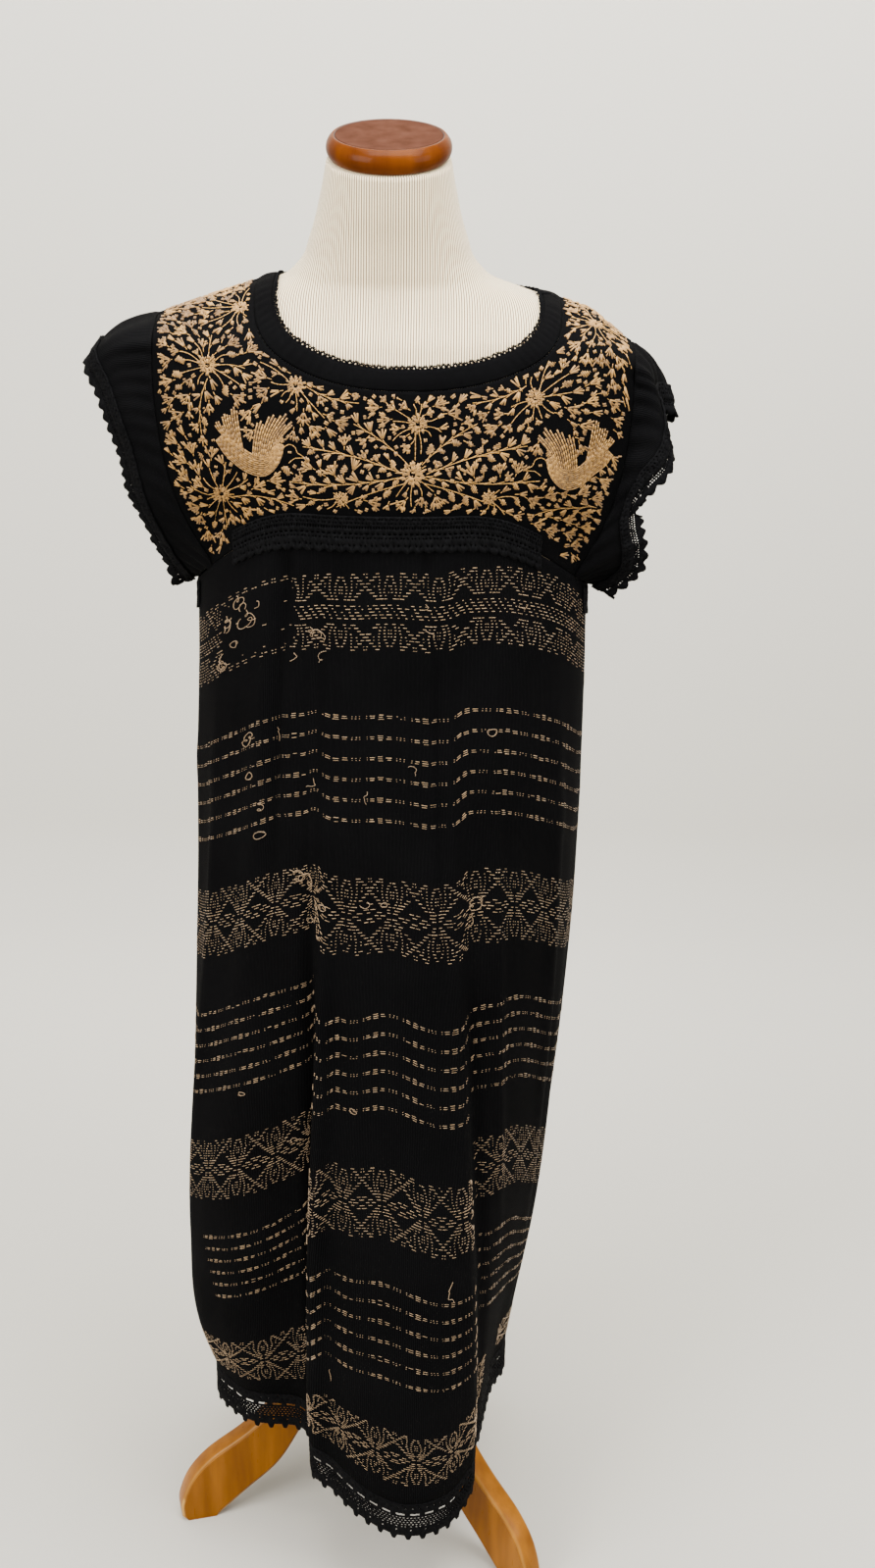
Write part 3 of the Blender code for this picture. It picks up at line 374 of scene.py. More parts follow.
CAMERA_SPOT = (0.0514, -2.0625, 1.835)
CAMERA_PITCH, CAMERA_ROLL = math.radians(24.5), math.radians(0.8)
FOCAL_PIXELS, FRAME_HEIGHT, SENSOR = 2300.0, 1599.0, 36.0
lens = bpy.data.cameras.new("camera")
lens.sensor_fit = "VERTICAL"
lens.sensor_height = SENSOR
lens.lens = FOCAL_PIXELS / FRAME_HEIGHT * SENSOR
camera = new_object("camera", lens)
camera.matrix_world = (Matrix.Translation(Vector(CAMERA_SPOT) + Vector(POLE))
                       @ Matrix.Rotation(math.pi / 2.0 - CAMERA_PITCH, 4, "X")
                       @ Matrix.Rotation(CAMERA_ROLL, 4, "Z"))
bpy.context.scene.camera = camera

LAMPS = {
    # name:        stands at,           aimed at,          width, power, warmth
    "window_left":  ((-2.6, -2.4, 2.6), (0.0, 0.0, 0.9),   2.2, 185.0, (1.0, 0.98, 0.95)),
    "window_right": ((2.8, -1.6, 2.2),  (0.0, 0.0, 0.9),   1.8, 58.0,  (0.97, 0.98, 1.0)),
    "ceiling":      ((0.0, -0.4, 3.4),  (0.0, 0.0, 0.9),   2.4, 78.0,  (1.0, 1.0, 1.0)),
    "wall_wash":    ((0.3, -0.1, 2.9),  (0.3, 1.05, 1.75), 1.6, 125.0, (1.0, 0.99, 0.96)),
}
SKY_COLOUR, SKY_STRENGTH = (1.0, 0.985, 0.94, 1.0), 1.25
for name, (spot, aim, width, power, warmth) in LAMPS.items():
    light = bpy.data.lights.new(name, "AREA")
    light.shape, light.size, light.energy, light.color = "SQUARE", width, power, warmth
    lamp = new_object(name, light)
    lamp.location = spot
    lamp.rotation_euler = (Vector(aim) - Vector(spot)).to_track_quat("-Z", "Y").to_euler()
sky = bpy.data.worlds.new("pale_room")
sky.use_nodes = True
sky_inputs = sky.node_tree.nodes["Background"].inputs
sky_inputs["Color"].default_value, sky_inputs["Strength"].default_value = SKY_COLOUR, SKY_STRENGTH
bpy.context.scene.world = sky
print("lens", round(lens.lens, 2), "mm;", len(LAMPS), "lamps")

# %% [markdown]
# ## Finishes that several pieces share
# Cloth, thread and wood each need a pattern that repeats at its true size. A node group
# holds one such effect, with sockets for what differs from piece to piece, and every
# material that needs it places the group with its own numbers. The shaders themselves stay
# in the materials, because a group should hand out only colours, masks and heights.

# %% Node helpers
def feed_in(tree, socket, feed):
    """Links a socket to another one, or sets it to a plain value."""
    if isinstance(feed, bpy.types.NodeSocket):
        tree.links.new(feed, socket)
    elif feed is not None:
        socket.default_value = feed


def place(tree, kind, *feeds, **settings):
    """A node with its settings, and each feed either a socket to link or a plain value."""
    node = tree.nodes.new(kind)
    for key, value in settings.items():
        setattr(node, key, value)
    for index, feed in enumerate(feeds):
        feed_in(tree, node.inputs[index], feed)
    return node


def calc(tree, operation, *feeds, clamp=False):
    """A math node; a feed may be a tuple that holds an operation of its own and its feeds."""
    feeds = [calc(tree, *feed) if isinstance(feed, tuple) else feed for feed in feeds]
    return place(tree, "ShaderNodeMath", *feeds, operation=operation, use_clamp=clamp).outputs[0]


def noise(tree, spot, scale, detail):
    return place(tree, "ShaderNodeTexNoise", spot, None, scale, detail).outputs[0]


def blend_colours(tree, share, first, second):
    mixer = place(tree, "ShaderNodeMix", data_type="RGBA")
    for index, feed in ((0, share), (6, first), (7, second)):
        feed_in(tree, mixer.inputs[index], (*feed, 1.0) if isinstance(feed, tuple) else feed)
    return mixer.outputs[2]


def new_group(name, inputs, outputs):
    """A node group with named sockets: its tree, the sockets that come in, and its way out."""
    tree = bpy.data.node_groups.new(name, "ShaderNodeTree")
    for label, kind, value in inputs:
        socket = tree.interface.new_socket(name=label, in_out="INPUT", socket_type="NodeSocket" + kind)
        if value is not None:
            socket.default_value = value
    for label, kind in outputs:
        tree.interface.new_socket(name=label, in_out="OUTPUT", socket_type="NodeSocket" + kind)
    return tree, tree.nodes.new("NodeGroupInput").outputs, tree.nodes.new("NodeGroupOutput").inputs


def use_group(tree, group, **feeds):
    """Places a group in a material; feeds name its sockets."""
    node = tree.nodes.new("ShaderNodeGroup")
    node.node_tree = group
    for label, feed in feeds.items():
        feed_in(tree, node.inputs[label], feed)
    return node.outputs


def add_bump(tree, shader, height, strength, distance):
    bump = place(tree, "ShaderNodeBump", strength, distance, None)
    tree.links.new(height, bump.inputs["Height"])
    tree.links.new(bump.outputs[0], shader.inputs["Normal"])


print("node helpers ready")

# %% Group: ribbed weave
ribs, given, out = new_group(
    "ribbed_weave",
    [("UV", "Vector", None), ("Rib", "Float", 0.0015), ("Weft", "Float", 0.0011),
     ("Wander", "Float", 0.0006)],
    [("Height", "Float"), ("Top", "Float"), ("Patch", "Float")])
slow, fuzz, broad = (noise(ribs, given["UV"], scale, detail)
                     for scale, detail in ((55.0, 3.0), (2600.0, 2.0), (9.0, 4.0)))
split = place(ribs, "ShaderNodeSeparateXYZ", given["UV"]).outputs
shift = calc(ribs, "MULTIPLY", ("SUBTRACT", slow, 0.5), given["Wander"])
turn = calc(ribs, "DIVIDE", ("ADD", split[0], shift), given["Rib"])
crest = calc(ribs, "ABSOLUTE", ("SINE", ("MULTIPLY", turn, math.pi)))
beat = calc(ribs, "SINE", ("ADD", ("MULTIPLY", ("DIVIDE", split[1], given["Weft"]), TAU),
                           ("MULTIPLY", ("FLOOR", turn), math.pi)))
height = calc(ribs, "ADD", ("ADD", crest, ("MULTIPLY", beat, 0.16)), ("MULTIPLY", fuzz, 0.35))
ribs.links.new(height, out["Height"])
# the crest mask; the black cottons use it for a painted highlight on the rib tops
ribs.links.new(calc(ribs, "POWER", crest, 2.0), out["Top"])
ribs.links.new(calc(ribs, "MULTIPLY", ("SUBTRACT", broad, 0.30), 2.0, clamp=True), out["Patch"])
print("group", ribs.name, "with", len(ribs.nodes), "nodes")

# %% Group: spun thread
twist, given, out = new_group(
    "spun_thread",
    [("Place", "Vector", None), ("Grain", "Float", 900.0)],
    [("Height", "Float"), ("Shade", "Float")])
strands, tone = noise(twist, given["Place"], given["Grain"], 3.0), noise(twist, given["Place"], 60.0, 3.0)
shade = calc(twist, "ADD", ("MULTIPLY", strands, 0.6), ("MULTIPLY", tone, 0.4))
twist.links.new(strands, out["Height"])
twist.links.new(calc(twist, "MULTIPLY", ("SUBTRACT", shade, 0.3), 2.5, clamp=True), out["Shade"])
print("group", twist.name, "with", len(twist.nodes), "nodes")

# %% Group: oiled wood
oiled, given, out = new_group(
    "oiled_wood",
    [("Place", "Vector", None), ("Light", "Color", (0.62, 0.27, 0.06, 1.0)),
     ("Dark", "Color", (0.20, 0.055, 0.008, 1.0)), ("Rings", "Float", 45.0), ("Worn", "Float", 0.0)],
    [("Color", "Color"), ("Roughness", "Float"), ("Height", "Float")])
grain = place(oiled, "ShaderNodeMapping", given["Place"], None, None, (1.0, 1.0, 0.12)).outputs[0]
figure, pores = noise(oiled, grain, given["Rings"], 5.0), noise(oiled, grain, 420.0, 2.0)
figure_share = calc(oiled, "MULTIPLY", ("SUBTRACT", figure, 0.32), 2.6, clamp=True)
wood_tone = blend_colours(oiled, figure_share, given["Dark"], given["Light"])
worn_share = calc(oiled, "MULTIPLY", given["Worn"], 0.45)
oiled.links.new(blend_colours(oiled, worn_share, wood_tone, (0.80, 0.50, 0.16)), out["Color"])
oiled.links.new(calc(oiled, "ADD", ("MULTIPLY", pores, 0.18), ("MULTIPLY", given["Worn"], 0.15)),
                out["Roughness"])
oiled.links.new(calc(oiled, "ADD", pores, figure_share), out["Height"])
print("group", oiled.name, "with", len(oiled.nodes), "nodes")

# %% [markdown]
# ## The finishes themselves
# Black cotton is never quite black: the rib tops get a painted highlight, a lighter tone than
# the grooves between them, and large soft patches have faded. Thread shines a little along
# its fibres, so embroidery gets a lower roughness than cloth. The jersey of the form is cream
# with a thin grey-brown stripe, and its wood is honey-coloured under a clear lacquer, which
# is a coat over the Principled base.

# %% Cloth finishes
def black_cotton(name, rib, weft, rib_highlight_tone, low_tone, bump):
    finish, tree, shader = principled(name, low_tone, 0.9, Specular_IOR_Level=0.02)
    weave = use_group(tree, ribs, UV=place(tree, "ShaderNodeUVMap").outputs[0], Rib=rib, Weft=weft)
    # painted highlight: the rib tops are mixed towards a lighter tone than the grooves, standing in for light
    # on the ribs
    painted_rib_highlight = blend_colours(tree, weave["Top"], low_tone, rib_highlight_tone)
    faded = blend_colours(tree, calc(tree, "MULTIPLY", weave["Patch"], 0.35), painted_rib_highlight,
                          tuple(1.7 * c for c in rib_highlight_tone))
    tree.links.new(faded, shader.inputs["Base Color"])
    add_bump(tree, shader, weave["Height"], 0.8, bump)
    return finish


# each cloth's first tone is its painted highlight on the rib tops, and its second is the cloth's own black
skirt_cotton = black_cotton("black_ribbed_cotton", 0.0015, 0.0011, (0.0030, 0.0030, 0.0033),
                            (0.0006, 0.0006, 0.0007), 0.0004)
yoke_cotton = black_cotton("black_plain_cotton", 0.0007, 0.0007, (0.0020, 0.0020, 0.0022),
                           (0.0007, 0.0007, 0.0008), 0.0002)


def thread_finish(name, light, dark, roughness, grain, bump, **sockets):
    """A thread with darker and lighter stretches; a point attribute sets each stitch's tone, and on sewn
    cords it is lower at the foot as painted shade.
    """
    finish, tree, shader = principled(name, light, roughness, **sockets)
    spun = use_group(tree, twist, Place=place(tree, "ShaderNodeTexCoord").outputs["Object"], Grain=grain)
    tint_and_shade = place(tree, "ShaderNodeAttribute", attribute_name="tint_and_shade").outputs["Fac"]
    share = calc(tree, "ADD", ("MULTIPLY", spun["Shade"], 0.35), ("MULTIPLY", tint_and_shade, 0.75), clamp=True)
    tree.links.new(blend_colours(tree, share, dark, light), shader.inputs["Base Color"])
    add_bump(tree, shader, spun["Height"], 0.5, bump)
    return finish


satin_thread = thread_finish("tan_satin_thread", (0.47, 0.245, 0.045), (0.070, 0.027, 0.005),
                             0.5, 1500.0, 0.0002, Sheen_Weight=0.15)
woven_thread = thread_finish("tan_woven_thread", (0.42, 0.28, 0.15), (0.11, 0.068, 0.034),
                             0.8, 1300.0, 0.0002, Sheen_Weight=0.2)
crochet_thread = thread_finish("black_crochet_thread", (0.0046, 0.0046, 0.0051), (0.0003, 0.0003, 0.0004),
                               0.9, 1300.0, 0.0003, Specular_IOR_Level=0.04)
cloths = (skirt_cotton, yoke_cotton, satin_thread, woven_thread, crochet_thread)
print("cloth finishes:", [finish.name for finish in cloths])

# %% Jersey and wood finishes
STRIPE_PITCH, STRIPE_SHARE = 0.0024, 0.442
jersey, tree, shader = principled("striped_jersey", (0.86, 0.75, 0.54), 0.9,
                                  Sheen_Weight=0.2, Sheen_Roughness=0.5)
jersey_uv = place(tree, "ShaderNodeUVMap").outputs[0]
knit = use_group(tree, ribs, UV=jersey_uv, Rib=0.0006, Weft=0.0008, Wander=0.0004)
sideways = place(tree, "ShaderNodeSeparateXYZ", jersey_uv).outputs[0]
on_stripe = calc(tree, "LESS_THAN", ("FRACT", ("DIVIDE", sideways, STRIPE_PITCH)), STRIPE_SHARE)
patches = calc(tree, "MULTIPLY", knit["Patch"], 0.3)
cream = blend_colours(tree, patches, (0.80, 0.66, 0.42), (0.74, 0.60, 0.38))
tree.links.new(blend_colours(tree, on_stripe, cream, (0.13, 0.085, 0.042)), shader.inputs["Base Color"])
add_bump(tree, shader, knit["Height"], 0.4, 0.0002)


def lacquered(name, light, dark, rings, coat, glint):
    finish, tree, shader = principled(name, light, 0.3, Coat_Weight=coat, Coat_Roughness=0.06,
                                      Specular_IOR_Level=glint)
    worn = place(tree, "ShaderNodeAttribute", attribute_name="worn").outputs["Fac"]
    wood = use_group(tree, oiled, Place=place(tree, "ShaderNodeTexCoord").outputs["Object"],
                     Light=(*light, 1.0), Dark=(*dark, 1.0), Rings=rings, Worn=worn)
    tree.links.new(wood["Color"], shader.inputs["Base Color"])
    tree.links.new(calc(tree, "ADD", wood["Roughness"], 0.22), shader.inputs["Roughness"])
    add_bump(tree, shader, wood["Height"], 0.2, 0.0002)
    return finish


honey_wood = lacquered("honey_wood", (0.26, 0.092, 0.004), (0.15, 0.048, 0.002), 60.0, 0.05, 0.10)
rim_wood = lacquered("amber_rim_wood", (0.098, 0.024, 0.0010), (0.048, 0.010, 0.0008), 50.0, 0.05, 0.03)
top_wood = lacquered("brown_top_wood", (0.058, 0.024, 0.015), (0.038, 0.015, 0.009), 70.0, 0.01, 0.0)
groove_wood = principled("dark_groove_line", (0.025, 0.010, 0.006), 0.6)[0]
print("form finishes:", jersey.name, honey_wood.name, rim_wood.name, top_wood.name, groove_wood.name)

# %% [markdown]
# ## The form: padded body, neck cap, pole and legs
# The body is a stack of ovals. Its jersey is stretched over it in a front and a back half,
# so the stripes run straight down from the middle of each and meet at the side seams, and
# the UVs are measured along every oval from its own middle to give just that. The cap is
# turned wood with a soft rim and a fine groove, and a leg is one S cut from a board.

# %% Padded body
BODY_RINGS, BODY_COLUMNS = 150, 48


def neck_shift(z):
    return NECK_BACK * smooth((z - NECK_BACK_FROM) / NECK_BACK_RISE)


def body_ring(z, angle):
    """Points round the padded body; the top ones lean with the neck cap."""
    side, front, back = table_at(TORSO, z)
    lean = smooth((z - LEAN_FROM) / LEAN_RISE)
    depth = np.where(np.cos(angle) >= 0.0, front, back)
    radius = superellipse(angle, side, depth, TORSO_POWER - 0.2 * lean)
    x, y = radius * np.sin(angle), -radius * np.cos(angle)
    return np.stack([x, y + neck_shift(z), z + math.tan(CAP_TILT) * lean * y], axis=-1)


def make_body():
    heights = np.array([row[0] for row in TORSO])
    z = np.interp(np.linspace(0.0, 1.0, BODY_RINGS), np.linspace(0.0, 1.0, len(heights)), heights)[:, None]
    points, faces, uv, first = [], [], [], 0
    for middle in (0.0, math.pi):
        angle = middle + np.linspace(-math.pi / 2.0, math.pi / 2.0, BODY_COLUMNS + 1)[None, :]
        grid = body_ring(np.broadcast_to(z, (BODY_RINGS, BODY_COLUMNS + 1)), angle)
        step = np.linalg.norm(np.diff(grid, axis=1), axis=2)
        along = np.concatenate([np.zeros((BODY_RINGS, 1)), np.cumsum(step, axis=1)], axis=1)
        along -= along[:, BODY_COLUMNS // 2][:, None]
        j, i = cells(BODY_RINGS, BODY_COLUMNS + 1)
        faces.append((first + j * (BODY_COLUMNS + 1) + i)[:, ::-1])
        uv.append(np.stack([along[j, i], grid[j, i, 2]], axis=-1)[:, ::-1].reshape(-1, 2))
        points.append(grid.reshape(-1, 3))
        first += grid.shape[0] * grid.shape[1]
    body = add_mesh("padded_body", np.concatenate(points), faces, jersey, np.concatenate(uv))
    close_body(body.data)
    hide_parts("form_torso")
    return body


def close_body(mesh):
    """Joins the two halves at the sides and closes the bottom and the neck."""
    shape = bmesh.new()
    shape.from_mesh(mesh)
    bmesh.ops.remove_doubles(shape, verts=shape.verts, dist=1e-5)
    bmesh.ops.holes_fill(shape, edges=[edge for edge in shape.edges if edge.is_boundary], sides=0)
    bmesh.ops.recalc_face_normals(shape, faces=shape.faces)
    shape.to_mesh(mesh)
    shape.free()
    mesh.shade_smooth()


body = make_body()
print(body.name, len(body.data.polygons), "faces")

# %% Turned pieces: cap, pole and hub
def turned(name, profile, finish, slot, node, centre=(0.0, 0.0), ratio=1.0, tilt=0.0, around=96):
    """A turned solid from (radius, height) points that start and end on its axis."""
    turn = np.linspace(0.0, TAU, around, endpoint=False)
    rings = np.array(profile[1:-1])
    x = rings[:, 0, None] * np.cos(turn)
    y = rings[:, 0, None] * ratio * np.sin(turn)
    z = rings[:, 1, None] + math.tan(tilt) * y
    points = np.stack([x + centre[0], y + centre[1], z], axis=-1).reshape(-1, 3)
    ends = [(centre[0], centre[1], profile[0][1]), (centre[0], centre[1], profile[-1][1])]
    points = np.concatenate([points, ends])
    j, i = cells(len(rings), around, wraps=True)
    sides = (j * around + i % around)[:, ::-1]
    k = np.arange(around)
    foot, top = len(points) - 2, (len(rings) - 1) * around
    caps = np.concatenate([np.stack([np.full(around, foot), (k + 1) % around, k], axis=1),
                           np.stack([np.full(around, foot + 1), top + k, top + (k + 1) % around], axis=1)])
    piece = add_mesh(name, points, [sides, caps], finish)
    if node:
        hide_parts(node)
    return piece


def rounded(corners, radius, steps=5):
    """A profile with its inner corners turned into small arcs."""
    smoothed = [corners[0]]
    for before, here, after in zip(corners, corners[1:], corners[2:]):
        here = np.array(here)
        for target, order in ((np.array(before), 1), (np.array(after), -1)):
            reach = min(radius, 0.45 * np.linalg.norm(target - here))
            end = here + (target - here) / max(np.linalg.norm(target - here), 1e-9) * reach
            if order == 1:
                start = end
        for t in np.linspace(0.0, 1.0, steps):
            smoothed.append(tuple(start * (1 - t) ** 2 + 2 * here * t * (1 - t) + end * t * t))
    smoothed.append(corners[-1])
    return smoothed


CAP_TOP_Z, CAP_GROOVE = CAP_BASE_Z + CAP_THICKNESS, CAP_RADIUS - 0.0080
cap_profile = rounded([
    (0.0, CAP_BASE_Z), (CAP_RADIUS - 0.0050, CAP_BASE_Z), (CAP_RADIUS, CAP_BASE_Z + 0.0075),
    (CAP_RADIUS - 0.0003, CAP_BASE_Z + 0.0155), (CAP_RADIUS - 0.0050, CAP_TOP_Z),
    (CAP_GROOVE + 0.0006, CAP_TOP_Z), (CAP_GROOVE, CAP_TOP_Z - 0.0013),
    (CAP_GROOVE - 0.0006, CAP_TOP_Z), (CAP_GROOVE - 0.0012, CAP_TOP_Z), (0.0, CAP_TOP_Z)], 0.004)
cap = turned("neck_cap", cap_profile, rim_wood, "honey_wood", "form_neck_cap",
             (0.0, NECK_BACK), CAP_DEPTH_RATIO, CAP_TILT, 128)
cap.data.materials.append(top_wood)
cap.data.materials.append(groove_wood)
for polygon in cap.data.polygons:
    x, y, _ = polygon.center
    reach = math.hypot(x - POLE[0], (y - POLE[1] - NECK_BACK) / CAP_DEPTH_RATIO)
    if polygon.normal[2] > 0.2 and reach < CAP_GROOVE - 0.0004:
        polygon.material_index = 1
    elif abs(reach - CAP_GROOVE) < 0.0007:
        polygon.material_index = 2
POLE_FOOT, POLE_TOP = HUB_TOP + SEAM_GAP, TORSO[0][0] - SEAM_GAP
pole_profile = rounded([
    (0.0, POLE_FOOT), (POLE_RADIUS, POLE_FOOT), (POLE_RADIUS, POLE_TOP), (0.0, POLE_TOP)], 0.001)
hub_profile = rounded([
    (0.0, HUB_BOTTOM), (HUB_RADIUS - 0.010, HUB_BOTTOM), (HUB_RADIUS, HUB_BOTTOM + 0.008),
    (HUB_RADIUS, HUB_TOP - 0.020), (HUB_RADIUS - 0.006, HUB_TOP - 0.006),
    (HUB_RADIUS - 0.012, HUB_TOP), (0.0, HUB_TOP)], 0.003)
pole, hub = (turned(name, profile, honey_wood, "honey_wood", node, around=64) for name, profile, node in
             (("tripod_pole", pole_profile, "form_pole"), ("tripod_hub", hub_profile, "form_hub")))
print("turned:", cap.name, pole.name, hub.name)

# %% Curved legs
LEG_EDGE, LEG_STEPS = 0.0038, 5


def smooth_stops(stops, steps):
    return finer(np.array(stops)[None, :, :], 1, steps)[0]


def leg_outline():
    """The leg's side outline: an S from the hub down to a flat sole."""
    heel, toe = (LEG_LOWER[0][0], 0.0), (LEG_UPPER[-1][0] - 0.006, 0.0)
    return np.concatenate([smooth_stops(LEG_UPPER, 8), [toe, heel], smooth_stops(LEG_LOWER, 8)[1:]])


def make_leg(side, degrees):
    outline = leg_outline()
    before, after = np.roll(outline, 1, axis=0), np.roll(outline, -1, axis=0)
    normal = unit(unit(outline - before) + unit(after - outline))
    inward = np.stack([normal[:, 1], -normal[:, 0]], axis=1)
    angle = math.radians(degrees)
    outward = np.array([math.sin(angle), -math.cos(angle)])
    sideways = np.array([math.cos(angle), math.sin(angle)])
    arc = np.linspace(0.0, math.pi / 2.0, LEG_STEPS)
    half = LEG_THICKNESS / 2.0
    offsets = np.concatenate([-half + LEG_EDGE * (1 - np.cos(arc)),
                              half - LEG_EDGE * (1 - np.cos(arc[::-1]))])
    both = np.concatenate([arc, arc[::-1]])
    insets, worn_arc = LEG_EDGE * (1 - np.sin(both)), np.sin(2 * both) ** 2
    rows, worn = [], []
    for offset, inset, wear in zip(offsets, insets, worn_arc):
        spot = outline + inward * inset
        spot[outline[:, 1] == 0.0, 1] = 0.0
        spot[:, 0] = np.maximum(spot[:, 0], outline[0, 0])
        rows.append(np.column_stack([spot[:, :1] * outward + sideways * offset, spot[:, 1]]))
        worn.append(wear * (0.25 + 0.75 * (outline[:, 1] < 0.03)))
    layers, count = len(rows), len(outline)
    j, i = cells(layers, count, wraps=True)
    sides = j * count + i % count
    near = np.arange((count - 2) // 2)
    lid = np.stack([near, near + 1, count - 2 - near, count - 1 - near], axis=1)
    leg = add_mesh("leg_" + side, np.concatenate(rows), [sides, lid[:, ::-1], lid + (layers - 1) * count],
                   honey_wood, values={"worn": np.concatenate(worn)})
    leg.data.polygons.foreach_set("use_smooth", np.arange(len(leg.data.polygons)) < len(sides))
    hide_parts("form_leg_" + side)
    return leg


legs = [make_leg(side, degrees) for side, degrees in LEG_ANGLES.items()]
print("legs:", [leg.name for leg in legs])

# %% [markdown]
# ## The skirt's surface
# The skirt is two panels of ribbed cotton that hang from the seam. One function gives a
# point for any angle round the pole and any fall from the seam (0) to the hem (1). The
# large folds are the solid's own. Smaller creases, each listed one by one and no two alike,
# are soft troughs and ridges that drift as they fall, and a few cross the cloth below the
# seam, where it is pulled. Simulated cloth would lose the rows of weaving, so the creases
# are given in a table here.

# %% Skirt points
CREASES = [
    # name,           top,   bottom, from, to,   out,     half width
    ("pleat_run",    -40.5,  -42.0, 0.01, 0.46, -0.0070, 2.8),
    ("pleat_lip",    -43.0,  -47.0, 0.02, 0.34,  0.0030, 3.0),
    ("panel_edge",   -23.0,  -13.5, 0.26, 1.40,  0.0170, 3.0),
    ("left_gutter",  -29.5,  -20.5, 0.20, 1.40, -0.0140, 3.2),
    ("centre_soft",   -8.0,   -2.0, 0.04, 0.55, -0.0022, 5.0),
    ("centre_ridge",   3.0,    8.0, 0.20, 1.20,  0.0030, 5.5),
    ("small_pleat",   21.8,   22.0, 0.01, 0.50, -0.0040, 2.2),
    ("right_ridge",   24.0,   27.0, 0.06, 0.72,  0.0030, 3.4),
    ("lobe_side",     25.0,   26.0, 0.34, 1.30,  0.0070, 3.6),
    ("right_gutter",  31.0,   31.5, 0.28, 1.30, -0.0110, 3.6),
    ("right_fold",    40.0,   41.5, 0.08, 0.90,  0.0050, 2.6),
    ("right_soft",    64.0,   67.0, 0.05, 0.80,  0.0046, 3.2),
    ("right_drop",    72.0,   73.0, 0.30, 1.05, -0.0040, 4.0),
    ("side_fold",     88.0,   92.0, 0.10, 0.95,  0.0040, 4.5),
    ("left_soft",    -54.0,  -58.0, 0.06, 0.66, -0.0034, 4.6),
    ("left_ridge",   -65.0,  -69.0, 0.08, 0.98,  0.0052, 3.0),
    ("left_edge",    -80.0,  -84.0, 0.04, 0.60,  0.0038, 4.4),
    ("left_tuck",    -97.0, -101.0, 0.20, 1.05, -0.0048, 4.2),
    ("back_one",    -126.0, -131.0, 0.08, 0.90,  0.0042, 4.8),
    ("back_two",    -150.0, -153.0, 0.02, 0.55, -0.0046, 3.2),
    ("back_three",  -166.0, -161.0, 0.25, 1.10, -0.0050, 4.4),
    ("back_four",    174.0,  170.0, 0.10, 0.80,  0.0036, 5.2),
    ("back_five",    160.0,  166.0, 0.40, 1.20, -0.0046, 3.8),
    ("back_six",     147.0,  146.0, 0.02, 0.50, -0.0044, 3.2),
    ("back_seven",   136.0,  138.0, 0.15, 0.95,  0.0040, 4.4),
    ("back_eight",   113.0,  117.0, 0.20, 1.05, -0.0046, 4.6),
]
DRAGS = [
    # name,         angle, fall,  slant, out,     length, height
    ("bust_left",  -60.0, 0.075,  0.0016, 0.0020, 16.0, 0.020),
    ("bust_right",  58.0, 0.085, -0.0018, 0.0022, 15.0, 0.022),
    ("hip_left",   -72.0, 0.215,  0.0012, 0.0018, 13.0, 0.020),
    ("hip_right",   70.0, 0.260, -0.0010, 0.0020, 14.0, 0.024),
    ("back_pull",  165.0, 0.120,  0.0008, 0.0020, 18.0, 0.024),
    ("back_low",  -140.0, 0.340, -0.0012, 0.0018, 15.0, 0.026),
]
LEAN_ANGLE, LEAN_WIDTH, LEAN_BY, LEAN_START = -20.0, 7.5, 3.4, 0.34


def droop(angle):
    turn = np.abs(degrees_past(angle, 0.0))
    turn = np.where(turn > 90.0, 180.0 - turn, turn)
    return SEAM_DROOP * smooth((turn - DROOP_FROM) / (90.0 - DROOP_FROM)) ** DROOP_POWER


def bell(gap, half):
    """1 in the middle of a fold, and 0 from its half width on."""
    return np.where(np.abs(gap) < half, 0.5 * (1.0 + np.cos(math.pi * gap / half)), 0.0)


def fold_out(angle, fall):
    """How far folds, pleats and creases stand out of the skirt's plain section."""
    total = np.zeros(np.broadcast(angle, fall).shape)
    for _, centre, reach, before, after, start in FOLDS:
        gap = degrees_past(angle, centre)
        grown = np.where(fall < 1.0, smooth((fall - start) / (FOLD_FULL - start)), 1.0)
        total += reach * grown * bell(gap, 2.0 * np.where(gap < 0.0, before, after))
    for _, centre, depth, half, fades in PLEATS:
        total -= depth * np.maximum(1.0 - fall / fades, 0.0) * bell(degrees_past(angle, centre), half)
    for _, top, bottom, start, end, reach, half in CREASES:
        along = (fall - start) / (end - start)
        gap = degrees_past(angle, top + (bottom - top) * np.clip(along, 0.0, 1.0))
        grown = smooth(along / 0.35) * smooth((1.0 - along) / 0.45)
        total += reach * grown * np.exp(-(gap / half) ** 2)
    for _, centre, level, slant, reach, length, height in DRAGS:
        gap = degrees_past(angle, centre)
        rise = (fall - level - slant * gap) / height
        total += reach * np.exp(-(gap / length) ** 2) * np.exp(-rise ** 2) * np.where(rise > 0.0, 0.8, 1.0)
    return total * smooth((fall + 0.002) / 0.035)


def skirt_at(angle, fall):
    """Points of the skirt's inner face; a fall over 1 runs on down the hem lace."""
    angle, fall = np.broadcast_arrays(np.asarray(angle, float), np.asarray(fall, float))
    lean = LEAN_BY * smooth((fall - LEAN_START) / 0.5)
    turned = angle - np.radians(lean * np.exp(-(degrees_past(angle, LEAN_ANGLE) / LEAN_WIDTH) ** 2))
    left, right, front, back, centre_back = table_at(SKIRT, fall)
    side = np.where(np.sin(angle) < 0.0, left, right)
    depth = np.where(np.cos(angle) >= 0.0, front + centre_back, back - centre_back * BACK_FOLLOW)
    radius = superellipse(turned, side, depth, SKIRT_POWER) + fold_out(angle, fall)
    from_lobe = degrees_past(angle, LOBE_ANGLE)
    reach = np.where(from_lobe < 0.0, LOBE_REACH_LEFT, LOBE_REACH_RIGHT)
    top = SEAM_Z - droop(angle)
    foot = HEM_Z + HEM_LIFT * smooth((np.abs(from_lobe) - LOBE_FLAT) / reach)
    return np.stack([radius * np.sin(turned), -radius * np.cos(turned) + centre_back,
                     top + (foot - top) * fall], axis=-1)


spot = skirt_at(0.0, 0.5)
print("centre front, half way down:", [round(float(c), 3) for c in spot])

